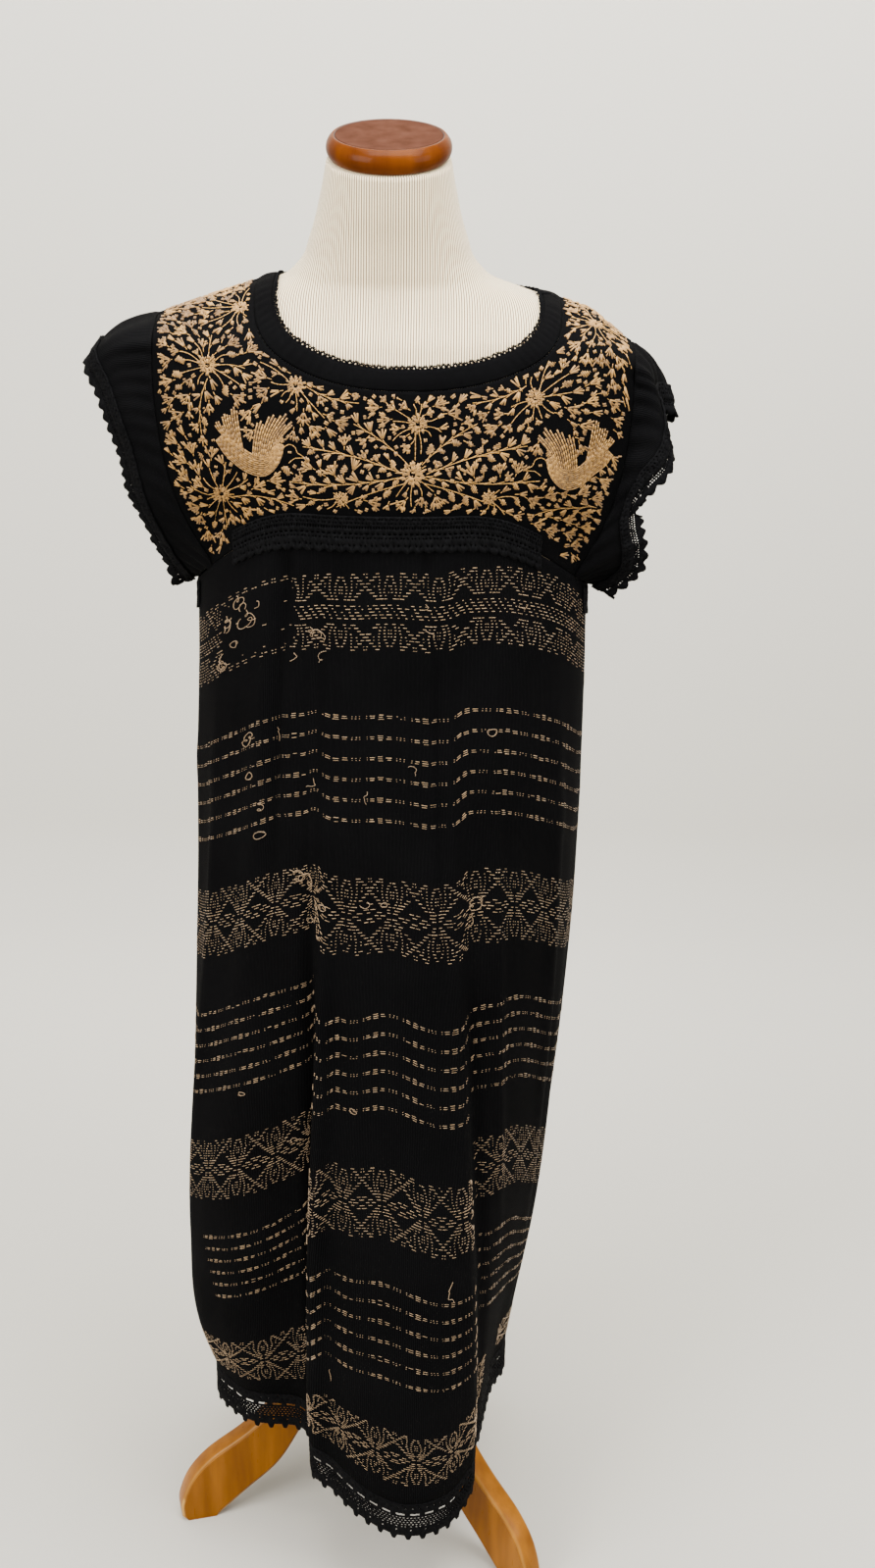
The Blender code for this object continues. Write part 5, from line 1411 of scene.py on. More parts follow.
# %% One half's embroidery and the room that is left on it
class Embroidery:
    """Collects the stitches of one half and knows which places are still free."""

    def __init__(self, facing, seed):
        self.draw = np.random.default_rng(seed)
        self.ground = yoke_ground["front" if facing < 0 else "back"]
        self.facing = facing
        self.paths, self.widths, self.heights, self.tints = [], [], [], []
        rows, columns = self.ground.points.shape[:2]
        self.u = self.ground.first[0] + np.arange(columns) * YOKE_STEP
        self.v = self.ground.first[1] + np.arange(rows) * YOKE_STEP
        self.spot_u, self.spot_v = np.meshgrid(self.u, self.v)
        self.inside = self.on_yoke()
        outside = ~self.inside
        free = np.full(outside.shape, 1.0)
        for u, v in zip(self.spot_u[outside][::5], self.spot_v[outside][::5]):
            free = np.minimum(free, (self.spot_u - u) ** 2 + (self.spot_v - v) ** 2)
        self.free = np.where(outside, 0.0, np.sqrt(free))

    def on_yoke(self):
        points = self.ground.points
        x, z = points[..., 0], points[..., 2]
        low = (NECK_FRONT_Z if self.facing < 0 else NECK_BACK_Z) - NECK_BAND
        half = NECK_HALF + NECK_BAND + NECK_MARGIN
        across = np.minimum(1.0, np.abs((x - NECK_SHIFT) / half)) ** NECK_POWER
        rim = ridge_z(x) - (ridge_z(x) - low + NECK_MARGIN) * (1.0 - across) ** (1.0 / NECK_POWER)
        below_neck = z < np.where(across < 1.0, rim, 9.0)
        k = np.linspace(0.0, SIDE_COLUMNS, 60)
        sides = []
        for places, sign in ((k, 1.0), (NECK_COLUMNS - k, -1.0)):
            edge_x, edge_z = yoke_outline(places, self.facing)
            sides.append(np.interp(-z, -edge_z, edge_x) + sign * SIDE_MARGIN)
        seam_z = seam_at(x, self.facing)[2]
        lace = np.where(np.abs(x - LACE_MIDDLE) < LACE_REACH, CHEST_LACE_UP, BARE_SEAM)
        not_last = np.ones_like(x, bool)
        not_last[1:] = np.abs(np.diff(z, axis=0)) + np.abs(np.diff(points[..., 1], axis=0)) > 1e-5
        return below_neck & (x > sides[0]) & (x < sides[1]) & (z > seam_z + lace + SEAM_MARGIN) & not_last

    def take(self, u, v, radius):
        self.free = np.minimum(self.free, np.hypot(self.spot_u - u, self.spot_v - v) - radius)

    def cell(self, u, v):
        """Row and column of the sample nearest to a place."""
        near = [np.clip(np.round((value - line[0]) / YOKE_STEP), 0, len(line) - 1).astype(int)
                for value, line in ((v, self.v), (u, self.u))]
        return tuple(near)

    def room(self, u, v):
        return self.free[self.cell(u, v)]

    def holds(self, places):
        """Which of the places lie on the part of the yoke that is embroidered."""
        return self.inside[self.cell(places[..., 0], places[..., 1])]

    def sew(self, bundle, u, v, turn=0.0, mirror=False, tone=None, height=PAD_HEIGHT, width=THREAD):
        """Places a motif's stitches round a spot, turned clockwise from straight up."""
        bundle = np.array(bundle, float)
        if mirror:
            bundle[..., 0] *= -1.0
        cos, sin = math.cos(turn), math.sin(turn)
        placed = np.stack([bundle[..., 0] * cos + bundle[..., 1] * sin + u,
                           -bundle[..., 0] * sin + bundle[..., 1] * cos + v], axis=-1)
        placed = placed[self.holds(placed.mean(axis=1))]
        count = len(placed)
        self.paths.append(placed)
        self.widths.append(width * self.draw.uniform(0.85, 1.15, count))
        self.heights.append(height * self.draw.uniform(0.7, 1.25, count))
        tone = self.draw.uniform(0.45, 0.85) if tone is None else tone
        self.tints.append(np.clip(tone + self.draw.uniform(-0.35, 0.35, count), 0.0, 1.0))

    def stem(self, start, end, bend, claim=True):
        """A thin couched stem on a bow between two places; returns points along it."""
        start, end = np.array(start), np.array(end)
        way = end - start
        length = np.linalg.norm(way)
        middle = (start + end) / 2.0 + np.array([-way[1], way[0]]) / max(length, 1e-6) * bend
        t = np.linspace(0.0, 1.0, STEM_POINTS)[:, None]
        curve = start * (1 - t) ** 2 + 2 * middle * t * (1 - t) + end * t * t
        stops = np.linspace(0, STEM_POINTS - 1, max(1, round(length / STEM_STITCH)) + 1).round().astype(int)
        pieces = np.stack([curve[stops[:-1]], curve[stops[1:]]], axis=1)
        pieces = pieces[self.holds(pieces).all(axis=1)]
        self.paths.append(pieces)
        self.widths.append(STEM_THREAD * self.draw.uniform(0.85, 1.2, len(pieces)))
        self.heights.append(np.full(len(pieces), STEM_HEIGHT))
        self.tints.append(self.draw.uniform(1.0, 1.3, len(pieces)))
        if claim:
            for spot in curve[::4]:
                self.take(*spot, STEM_ROOM)
        return curve

    def blossom(self, foot, way, largest, broad=0.25):
        """A blossom that starts at a foot and grows along a way, as large as there is room for."""
        for grown in np.arange(largest, SMALLEST_BLOOM, -BLOOM_STEP):
            spot = foot + way * grown
            if self.room(*spot) > 0.86 * grown + BLOOM_GAP:
                motif = fan_blossom if grown > FAN_FROM and self.draw.random() < broad else tooth
                if self.draw.random() < LEAF_SHARE:
                    motif = leaf
                self.sew(motif(self.draw, grown * 0.95), *spot, math.atan2(way[0], way[1]))
                self.take(*spot, grown)
                return True
        return False

    def branch(self, start, end, bend, largest=0.0052, gap=0.0130):
        """A curved stem with blossoms on both sides and one at its end."""
        curve = self.stem(start, end, bend)
        run = np.linalg.norm(np.diff(curve, axis=0), axis=1).sum()
        last = STEM_POINTS - 1
        self.blossom(curve[-1], unit(curve[-1] - curve[-4]), largest * 1.1, 0.5)
        side = self.draw.choice([-1.0, 1.0])
        for at_run in np.arange(run - 0.004, 0.006, -gap / 2.0):
            k = int(last * at_run / run)
            way = unit(curve[min(last, k + 1)] - curve[max(0, k - 1)])
            side = -side
            lean = np.array([way[0] * 0.72 + side * way[1] * 0.69, way[1] * 0.72 - side * way[0] * 0.69])
            foot = curve[k] + lean * self.draw.uniform(0.0012, 0.0030)
            if self.blossom(foot, lean, largest * self.draw.uniform(0.75, 1.0)):
                self.stem(curve[max(0, k - 2)], foot, 0.0006 * side, claim=False)

    def spray(self, head, size, count):
        """Stems that leave a flower all round and end in blossoms."""
        for turn in np.arange(count) / count * TAU + self.draw.uniform(0.0, 0.5):
            turn = turn + self.draw.normal(0.0, 0.10)
            way = np.array([math.sin(turn), math.cos(turn)])
            reach = 0.0
            for reach in np.arange(SPRAY_FROM, self.draw.uniform(0.014, 0.036), 0.0015):
                if self.room(*(head + way * (size + reach))) < SPRAY_ROOM:
                    break
            if reach > SPRAY_SHORTEST:
                start = head + way * size * 0.8
                end = start + way * (reach - SPRAY_FROM)
                self.branch(start, end, self.draw.uniform(-0.004, 0.004), SPRAY_BLOOM, SPRAY_GAP)

    def fill(self, heads):
        """Blossoms, buds and knots in every gap, the largest first."""
        jitter = self.draw.uniform(0.8, 1.0, self.free.shape)
        placed = 0
        while True:
            j, i = np.unravel_index(np.argmax(np.minimum(self.free, LARGEST_FILL) * jitter), self.free.shape)
            size = min(self.free[j, i], LARGEST_FILL) - FILL_GAP
            if size < SMALLEST_FILL or placed > MOST_FILLINGS:
                return placed
            u, v = self.u[i], self.v[j]
            gaps = [np.hypot(u - head[0], v - head[1]) for head, _, _ in heads]
            head = heads[int(np.argmin(gaps))][0]
            turn = math.atan2(u - head[0], v - head[1]) + self.draw.uniform(-0.45, 0.45)
            faded = u < FADED_LEFT_OF and v > FADED_ABOVE and self.draw.random() < FADED_SHARE
            dull = FADED_TONE if faded else None
            motif, grown = knot, 0.9
            if size > MOTIF_FROM:
                mixed = (fan_blossom, tooth, tooth, leaf)
                motif = mixed[int(self.draw.integers(0, 4))] if size <= FAN_FILL_FROM else fan_blossom
                grown = 1.02
            self.sew(motif(self.draw, size * grown), u, v, turn, tone=dull)
            if size > STALK_FROM:
                away = np.array([math.sin(turn), math.cos(turn)])
                foot = np.array([u, v]) - away * size
                end = foot - away * self.draw.uniform(0.002, 0.005)
                self.stem(foot, end, self.draw.uniform(-0.001, 0.001), claim=False)
            self.take(u, v, size)
            placed += 1


print("a stem is couched every", STEM_STITCH * 1000.0, "millimetres")

# %% Embroider both halves
def embroider(half, facing, seed, with_birds):
    work = Embroidery(facing, seed)
    heads = []
    for _, away, height, size, stems in FLOWERS:
        for side in ((1.0,) if away == 0.0 else (-1.0, 1.0)):
            drop = RIGHT_DROP if side > 0.0 and away > 0.1 else 0.0
            spot = np.array([MIRROR_X + side * away, height - drop]) + work.draw.uniform(-0.003, 0.003, 2)
            if work.room(*spot) > 0.6 * size:
                work.sew(rosette(work.draw, size), *spot, tone=0.8)
                work.take(*spot, size * 1.05)
                heads.append((spot, size, stems))
    away, height, size = BIRD_AT
    for side in (-1.0, 1.0):
        spot = np.array([MIRROR_X + side * away, height - (RIGHT_DROP if side > 0.0 else 0.0)])
        if with_birds:
            work.sew(bird(work.draw) * size, *spot, mirror=side > 0.0, tone=0.6, height=0.0012, width=0.0019)
            turned_round = MM * size * np.array([-side, 1.0])
            outline = smooth_stops(MM * size * np.array(BIRD_HEAD, float), 2) * np.array([-side, 1.0]) + spot
            for before, after in zip(outline[:-1], outline[1:]):
                work.stem(before, after, 0.0, claim=False)
            work.sew(knot(work.draw, 0.0014), *(turned_round * BIRD_EYE + spot), tone=0.9)
            for x, y, radius in BIRD_DISCS:
                work.take(*(turned_round * (x, y) + spot), MM * size * radius * 0.82)
        else:
            work.sew(rosette(work.draw, 0.010), *spot, tone=0.8)
            work.take(*spot, 0.0105)
            heads.append((spot, 0.010, 10))
    for start_x, start_v, end_x, end_v, bend in LONG_STEMS:
        for side in ((1.0,) if start_x == end_x == 0.0 else (-1.0, 1.0)):
            drop = RIGHT_DROP if side > 0.0 and start_x > 0.1 else 0.0
            start, end = ((MIRROR_X + side * x, v - drop) for x, v in ((start_x, start_v), (end_x, end_v)))
            work.branch(start, end, side * bend)
    for head, size, count in heads:
        work.spray(head, size, count)
    print("fillings:", work.fill(heads))
    bundle = (np.concatenate(part) for part in (work.paths, work.widths, work.heights, work.tints))
    return sew_on("embroidery_" + half, work.ground, *bundle, satin_thread)


embroidery = {half: embroider(half, facing, seed, with_birds) for half, facing, seed, with_birds in
              (("front", -1, 11, True), ("back", 1, 23, False))}

# %% [markdown]
# ## Woven bands and dashes
# The bands are brocade: on each row of the weave a thicker tan thread floats over a few
# black ones wherever the flower's outline crosses that row. So a motif is drawn here as a
# few strokes in one quarter of a repeat, mirrored both ways, and each row of weaving turns
# every crossing into one short float. Flat strokes give long floats and steep ones give
# dots, as on the loom. Old loops have been pulled out here and there, and part of the top
# band is worn away. Rows of the weave don't hang level: they dip where the cloth swings
# forward or is pulled, so each row follows a small table of dips.

# %% Rows of the weave
DIP_FALLS = np.array([0.0, 0.03, 0.33, 0.46, 0.73, 0.82, 0.905, 1.0])
DIPS = [
    # angle, then the dip of the rows woven at each fall between the seam and the hem
    (-180.0,  0.010,  0.030,  0.040,  0.050,  0.035,  0.015),
    (-120.0,  0.014,  0.036,  0.050,  0.060,  0.042,  0.018),
    (-90.0,   0.015,  0.036,  0.052,  0.070,  0.055,  0.036),
    (-66.0,   0.015,  0.032,  0.046,  0.066,  0.052,  0.034),
    (-50.0,   0.013,  0.024,  0.026,  0.045,  0.036,  0.022),
    (-42.0,   0.012,  0.015,  0.016,  0.031,  0.022,  0.010),
    (-30.0,   0.010,  0.005,  0.002,  0.002, -0.002, -0.012),
    (-24.8,   0.008, -0.001, -0.003, -0.008, -0.008, -0.016),
    (-22.6,   0.007,  0.005,  0.020,  0.038,  0.046,  0.018),
    (-14.0,   0.006,  0.005,  0.022,  0.040,  0.050,  0.020),
    (4.0,     0.003, -0.003, -0.002,  0.016,  0.032,  0.010),
    (14.0,    0.004,  0.002,  0.012,  0.035,  0.045,  0.021),
    (24.0,    0.005,  0.007,  0.023,  0.050,  0.055,  0.022),
    (27.5,    0.003,  0.007,  0.024,  0.052,  0.056,  0.024),
    (30.5,    0.001,  0.002,  0.021,  0.022,  0.026,  0.022),
    (36.0,    0.000,  0.003,  0.020,  0.024,  0.030,  0.024),
    (50.0,   -0.008,  0.007,  0.016,  0.032,  0.045,  0.036),
    (66.0,   -0.018,  0.013,  0.028,  0.058,  0.060,  0.040),
    (80.0,   -0.012,  0.018,  0.040,  0.080,  0.070,  0.040),
    (130.0,  -0.004,  0.020,  0.045,  0.065,  0.045,  0.018),
    (180.0,   0.010,  0.030,  0.040,  0.050,  0.035,  0.015),
]


def row_fall(angle, fall):
    """Where a row that was woven level lies now: its fall at an angle in radians."""
    angle, fall = np.broadcast_arrays(angle, fall)
    dips = np.stack([np.zeros(angle.shape), *table_at(DIPS, np.degrees(angle)), np.zeros(angle.shape)])
    k = np.clip(np.searchsorted(DIP_FALLS, fall) - 1, 0, len(DIP_FALLS) - 2)
    share = (fall - DIP_FALLS[k]) / (DIP_FALLS[k + 1] - DIP_FALLS[k])
    before = np.take_along_axis(dips, k[None], axis=0)[0]
    after = np.take_along_axis(dips, k[None] + 1, axis=0)[0]
    return fall + before * (1.0 - share) + after * share


def along_row(half, fall):
    """Metres along a row, from the middle of the half, and the angles they lie at."""
    angles = np.linspace(math.radians(HALVES[half]), math.radians(HALVES[half] + 180.0), 361)
    run = length_run(skirt_ground[half].at(angles, row_fall(angles, fall)))
    return run - run[180], angles


# %% The flower's strokes and the floats they make
ROW_PITCH, REPEAT = 0.0031, 0.045
STROKES = {
    # one quarter of the motif, millimetres from its middle
    "upright_petal": [(0.9, 7), (4.0, 13), (5.6, 20), (4.5, 27), (2.2, 33), (0.6, 37)],
    "slant_petal":   [(3.0, 5), (8.0, 14), (10.2, 24), (9.5, 32), (10.5, 38)],
    "arch":          [(10.5, 38), (16.0, 32), (22.5, 25)],
    "cross":         [(2.0, 2), (9.0, 10), (15.0, 17), (22.5, 25)],
    "lens":          [(8.5, -0.5), (13.0, 3.5), (22.5, 7.5)],
    "lens_heart":    [(14.5, -0.5), (22.5, 3.3)],
    "upright_vein":  [(1.2, 16), (1.2, 25)],
    "slant_vein":    [(14.2, 22), (14.8, 29)],
    "corner_dots":   [(21.0, 33), (21.4, 39)],
}
SHORTEST, LONGEST, FLOAT_WIDTH, FLOAT_HEIGHT = 0.0015, 0.0048, 0.00085, 0.00036


def motif_floats():
    """(x, y, length) of each float of a whole repeat, in metres from its middle."""
    floats = []
    for y in np.arange(-12, 13) * ROW_PITCH:
        for stroke in STROKES.values():
            for (x0, y0), (x1, y1) in zip(stroke[:-1], stroke[1:]):
                if min(y0, y1) <= abs(y) / MM < max(y0, y1):
                    x = x0 + (x1 - x0) * (abs(y) / MM - y0) / (y1 - y0)
                    slant = abs((x1 - x0) / (y1 - y0)) * ROW_PITCH
                    for side in (-1.0, 1.0):
                        floats.append((side * x * MM, y, min(LONGEST, max(SHORTEST, 0.0012 + slant))))
    return np.array(floats)


DASHES = [
    # x in millimetres, length, how many stacked
    (-19.0, 1.2, 2), (-14.0, 4.7, 2), (-6.0, 5.0, 3), (2.0, 4.7, 2), (9.0, 1.2, 2),
    (12.5, 1.4, 2), (16.0, 1.2, 2),
]
DASH_REPEAT, STACK_PITCH = 0.042, 0.0021


def dash_floats():
    return np.array([(x * MM, (k - (stacked - 1) / 2.0) * STACK_PITCH, length * MM)
                     for x, length, stacked in DASHES for k in range(stacked)])


flower, dash_group = motif_floats(), dash_floats()
print("floats in one flower:", len(flower), "and in one group of dashes:", len(dash_group))

# %% The bands on the skirt
FLOWER_BANDS = {
    # band:   middle (fall), shift along, split in two by dashes
    "first":  (0.0660, 0.006, True),
    "second": (0.3605, 0.010, False),
    "third":  (0.6450, 0.002, False),
    "fourth": (0.9370, -0.004, False),
}
DASH_SETS = {
    # set:  first row, last row (fall), shift along
    "a": (0.166, 0.267, 0.004),
    "b": (0.459, 0.549, 0.000),
    "c": (0.729, 0.820, 0.007),
}
DASH_ROWS, LEFT_OUT, SIDE_MARGIN_ROW, WANDER = 6, 0.035, 0.003, 0.00022
SPLIT_HALF, SPLIT_PITCH, SPLIT_LONG, SPLIT_SHORT = 0.0095, 0.0068, 0.0042, 0.0018
WORN = (-63.0, -35.0, 0.036, 0.096)      # angles and falls of the worn patch in front
FOLDED_AWAY = [
    # from this fall down a fold in front hides the rows: between which angles there, and at the hem
    (0.40, (-26.8, -23.0), (-24.5, -18.3)),
    (0.48, (27.6, 30.5), (27.2, 32.0)),
    (0.88, (36.5, 58.0), (34.5, 60.0)),
]


def lay_floats(half, draw, x, fall, length):
    """Places of the floats, each as two ends on the skirt's ground."""
    keep = draw.random(len(x)) > LEFT_OUT
    x, fall, length = x[keep] + draw.normal(0.0, WANDER, keep.sum()), fall[keep], length[keep]
    length = length * draw.uniform(0.8, 1.25, len(x))
    run, angles = along_row(half, float(np.mean(fall)))
    inside = (x > run[0] + SIDE_MARGIN_ROW) & (x < run[-1] - SIDE_MARGIN_ROW)
    x, fall, length = x[inside], fall[inside], length[inside]
    ends = (np.interp(x + side * length, run, angles) for side in (-0.5, 0.5))
    paths = np.stack([np.stack([angle, row_fall(angle, fall)], axis=1) for angle in ends], axis=1)
    if half == "front":
        angle = np.degrees(paths[:, 0, 0])
        worn = (angle > WORN[0]) & (angle < WORN[1]) & (fall > WORN[2]) & (fall < WORN[3])
        hidden = np.zeros(len(worn), bool)
        for start, here, at_hem in FOLDED_AWAY:
            first, last = (np.interp(fall, (start, 1.0), edges) for edges in zip(here, at_hem))
            hidden |= (fall > start) & (angle > first) & (angle < last)
        paths = paths[(~worn | (draw.random(len(worn)) < 0.05)) & ~hidden]
    return paths


def weave_bands(half, seed):
    draw = np.random.default_rng(seed)
    rows = {}
    for middle, shift, split_band in FLOWER_BANDS.values():
        solid = flower[np.abs(flower[:, 1]) > SPLIT_HALF] if split_band else flower
        row = rows.setdefault(middle, [])
        for k in range(-8, 9):
            row.append((solid[:, 0] + k * REPEAT + shift, middle + solid[:, 1] / PANEL_LENGTH, solid[:, 2]))
        for place_in in (-2, -1, 0, 1, 2) if split_band else ():
            x = np.arange(-0.33, 0.33, SPLIT_PITCH)
            row.append((x + 0.002 * place_in, np.full(len(x), middle + place_in * ROW_PITCH / PANEL_LENGTH),
                        np.where(draw.random(len(x)) < 0.6, SPLIT_LONG, SPLIT_SHORT)))
    for first, last, shift in DASH_SETS.values():
        for level in np.linspace(first, last, DASH_ROWS):
            rows[level] = [(dash_group[:, 0] + k * DASH_REPEAT + shift,
                            level + dash_group[:, 1] / PANEL_LENGTH, dash_group[:, 2]) for k in range(-8, 9)]
    laid = np.concatenate([lay_floats(half, draw, *map(np.concatenate, zip(*rows[level])))
                           for level in sorted(rows)])
    count = len(laid)
    width = FLOAT_WIDTH * draw.uniform(0.8, 1.2, count)
    height = FLOAT_HEIGHT * draw.uniform(0.7, 1.3, count)
    return sew_on("woven_bands_" + half, skirt_ground[half], laid, width, height,
                  draw.uniform(0.35, 1.0, count), woven_thread)


woven_bands = {half: weave_bands(half, seed) for half, seed in (("front", 31), ("back", 37))}

# %% Pulled loops of thread
PULLED = {
    # half: angle, fall, size in millimetres and kind of each pulled place
    "front": """
        -55 .042 9 tangle; -52 .060 11 tangle; -57 .078 8 loop; -62 .092 9 tangle; -60 .055 8 tangle;
        -48 .050 6 hook; -35 .108 8 hook; -27 .090 9 tangle; -24 .112 6 tangle; 52 .065 9 hook;
        18 .085 8 hook; 17 .060 5 hook; -51 .178 9 tangle; -41 .183 14 long; -50 .215 9 loop;
        -46 .250 6 tangle; -46 .280 9 loop; -27 .240 9 hook; -7 .245 14 long; 11 .215 9 hook;
        40 .188 8 loop; -33 .332 8 tangle; -30 .340 10 tangle; -22 .358 7 loop; -6 .348 6 tangle;
        1 .350 6 loop; 34 .358 9 tangle; 31 .370 7 tangle; -28 .390 8 loop; -20 .690 34 long;
        19 .718 24 long; -13 .858 14 long; -9 .550 6 loop; -48 .560 6 loop; 36 .905 6 tangle;
        -33 .640 6 tangle""",
    "back": """
        140 .060 8 tangle; 160 .210 10 loop; 176 .350 7 tangle; -168 .480 9 hook; -150 .095 9 tangle;
        -135 .250 12 long; -145 .640 8 loop; 150 .760 16 long; 125 .370 6 tangle; 170 .915 7 tangle""",
}
LOOP_STEPS, LOOP_THREAD, LOOP_HEIGHT, TANGLE = 30, 0.00062, 0.0009, 1.7


def pulled_path(draw, kind, size):
    """A loose thread's path round its own middle, in metres."""
    t = np.linspace(0.0, 1.0, LOOP_STEPS)
    knots = np.linspace(0, 1, 6)
    wobble = np.stack([np.interp(t, knots, draw.uniform(-0.16, 0.16, 6)) for _ in (0, 1)], axis=1)
    if kind == "loop":
        turn = t * TAU * 1.15 + draw.uniform(0, TAU)
        path = 0.5 * np.stack([np.cos(turn), 0.8 * np.sin(turn)], axis=1)
    elif kind == "hook":
        turn = t * 3.6 + draw.uniform(0, TAU)
        path = np.stack([0.5 * np.cos(turn) * (0.4 + t), 0.6 * (t - 0.5) + 0.3 * np.sin(turn)], axis=1)
    elif kind == "long":
        path = np.stack([0.10 * np.sin(t * 5.0 + draw.uniform(0, TAU)), t - 0.5], axis=1)
        wobble *= 0.6
    else:
        turn, lean = t * TAU * draw.uniform(1.3, 2.4), draw.uniform(0, TAU)
        curl = np.stack([0.20 * np.cos(turn) + 0.22 * np.sin(3.0 * t),
                         0.20 * np.sin(turn) + 1.1 * (t - 0.5)], axis=1)
        path = TANGLE * curl @ np.array([[math.cos(lean), math.sin(lean)], [-math.sin(lean), math.cos(lean)]])
    return (path + wobble) * size * MM


def pull_loops(half, seed):
    draw = np.random.default_rng(seed)
    paths = []
    for entry in PULLED[half].split(";"):
        *numbers, kind = entry.split()
        angle, fall, size = map(float, numbers)
        angle = math.radians(angle)
        level = row_fall(angle, fall)
        radius = np.linalg.norm(skirt_ground[half].at(np.array(angle), np.array(level))[:2])
        for _ in range(1 + (kind == "tangle" and size > 7)):
            path = pulled_path(draw, kind, size)
            spots = np.stack([angle + path[:, 0] / radius, level + path[:, 1] / PANEL_LENGTH], axis=1)
            paths.append(np.stack([spots[:-1], spots[1:]], axis=1))
    laid = np.concatenate(paths)
    return sew_on("pulled_threads_" + half, skirt_ground[half], laid, LOOP_THREAD, LOOP_HEIGHT,
                  draw.uniform(0.6, 1.0, len(laid)), woven_thread)


pulled_threads = {half: pull_loops(half, seed) for half, seed in (("front", 41), ("back", 43))}

# %% [markdown]
# ## Crochet edges
# Black crochet edges the hem, the sleeves and the neck, covers the seam over the bust and
# fills in under the arms. Its holes are real here, because light shows through them at the
# hem. Crochet is worked in rows, so each edging is a chart: a line for each row, with its
# height in millimetres, how far the row stands out, and # for thread or . for a hole. The
# chart repeats along a grid of points, and `openwork` turns it into one thin closed sheet.

# %% Openwork from a chart
LACE_SHAKE, LACE_POST = 0.00010, 0.00035


def openwork(name, grid, solid, thick, away, seed, lift, bumps=0.00012):
    """A closed sheet on a grid, with a hole wherever solid is False."""
    rows, columns = grid.shape[:2]
    draw = np.random.default_rng(seed)
    normals = grid_normals(grid)
    inside_out = np.sum(normals * away) < 0.0
    normals = -normals if inside_out else normals
    shaken = grid + draw.normal(0.0, LACE_SHAKE, grid.shape)
    relief = thick + np.abs(draw.normal(0.0, bumps, (rows, columns))) + lift
    points = np.concatenate([(shaken + normals * relief[..., None]).reshape(-1, 3), shaken.reshape(-1, 3)])
    count = rows * columns
    index = np.arange(count).reshape(rows, columns)
    corners = [index[:-1, :-1], index[1:, :-1], index[1:, 1:], index[:-1, 1:]]
    outer = np.stack(corners, axis=-1)[solid]
    faces = [outer, outer[:, ::-1] + count]
    framed = np.pad(solid, 1)
    beside = [framed[1:-1, :-2], framed[2:, 1:-1], framed[1:-1, 2:], framed[:-2, 1:-1]]
    for k, neighbour in enumerate(beside):
        edge = solid & ~neighbour
        p, q = corners[k][edge], corners[(k + 1) % 4][edge]
        faces.append(np.stack([q, p, p + count, q + count], axis=1))
    faces = np.concatenate([quads[:, ::-1] for quads in faces] if inside_out else faces)
    used, faces = np.unique(faces, return_inverse=True)
    faces = faces.reshape(-1, 4)
    piece = add_mesh(name, points[used], [faces], crochet_thread,
                     values={"tint_and_shade": draw.uniform(0.1, 1.0, len(used))})
    print(piece.name, len(faces), "faces")
    return piece


def read_chart(chart, repeats, first_rows=None):
    """Row levels in metres, the solid cells, and how far each grid row stands out."""
    rows = [line.split() for line in chart.split("\n") if line][:first_rows]
    heights, stands = (np.array([float(row[c]) for row in rows]) for c in (0, 1))
    levels = np.concatenate([[0.0], np.cumsum(heights)]) * MM
    solid = np.array([[stitch == "#" for stitch in row[2] * repeats] for row in rows])
    lifts = np.concatenate([stands[:1], (stands[:-1] + stands[1:]) / 2.0, stands[-1:]]) * MM
    posts = (np.arange(solid.shape[1] + 1) % 2) * LACE_POST
    return levels, solid, lifts[:, None] + posts


def last_rows(levels, count):
    """0 for most rows, rising to 1 over the last few, where an edging has its points."""
    return (np.arange(len(levels)) - len(levels) + count + 1).clip(0)[:, None] / count


def waves(places, repeats):
    """0 where two repeats of an edging meet, and 1 in the middle of each."""
    return np.abs(np.sin(math.pi * places / places[-1] * repeats))


# %% Hem lace
HEM_CHART = """
2.2 0.5 ########
1.3 0.1 ####.###
3.0 0.4 ########
1.3 0.1 ##.###.#
3.4 0.3 ########
2.0 0.5 ########
3.4 0.2 #.....##
1.8 0.5 ########
2.0 0.1 #.#.#.#.
0.9 0.3 ########
2.0 0.1 .#.#.#.#
0.9 0.3 ########
2.0 0.1 #.#.#.#.
0.9 0.3 ########
2.0 0.1 .#.#.#.#
0.9 0.3 ########
2.0 0.1 #.##.#.#
2.6 0.4 ########
2.0 0.2 #.######
4.2 0.4 ########
3.7 0.2 ########
"""
HEM_SEAM_GAP, TOOTH_HALF = 0.0006, 0.0027
hem_lace = {}
hem_runs = {half: along_row(half, 1.0) for half in HALVES}
hem_span = sum(run[-1] - run[0] for run, _ in hem_runs.values())
for half, (run, angles) in hem_runs.items():
    repeats = round(HEM_REPEATS * (run[-1] - run[0]) / hem_span)
    levels, solid, lift = read_chart(HEM_CHART, repeats)
    places = np.linspace(run[0], run[-1], solid.shape[1] + 1)
    turn = np.interp(places, run, angles)
    turn[0], turn[-1] = turn[0] + SIDE_GAP, turn[-1] - SIDE_GAP
    pitch = (run[-1] - run[0]) / repeats
    from_tooth = np.abs(((places - run[0]) / pitch + 0.5) % 1.0 - 0.5) * pitch
    tooth_at = smooth(1.5 - from_tooth / TOOTH_HALF)
    depth = (levels * HEM_LACE / levels[-1])[:, None] + HEM_PICOT * last_rows(levels, 3) * (tooth_at - 0.35)
    grid = skirt_at(turn, 1.0 + depth / PANEL_LENGTH)
    grid[0, :, 2] -= HEM_SEAM_GAP
    hem_lace[half] = openwork("crochet_hem_" + half, grid, solid, LACE * 0.75, grid * LEVEL, 51, lift)
    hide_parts("hem_lace_" + half)

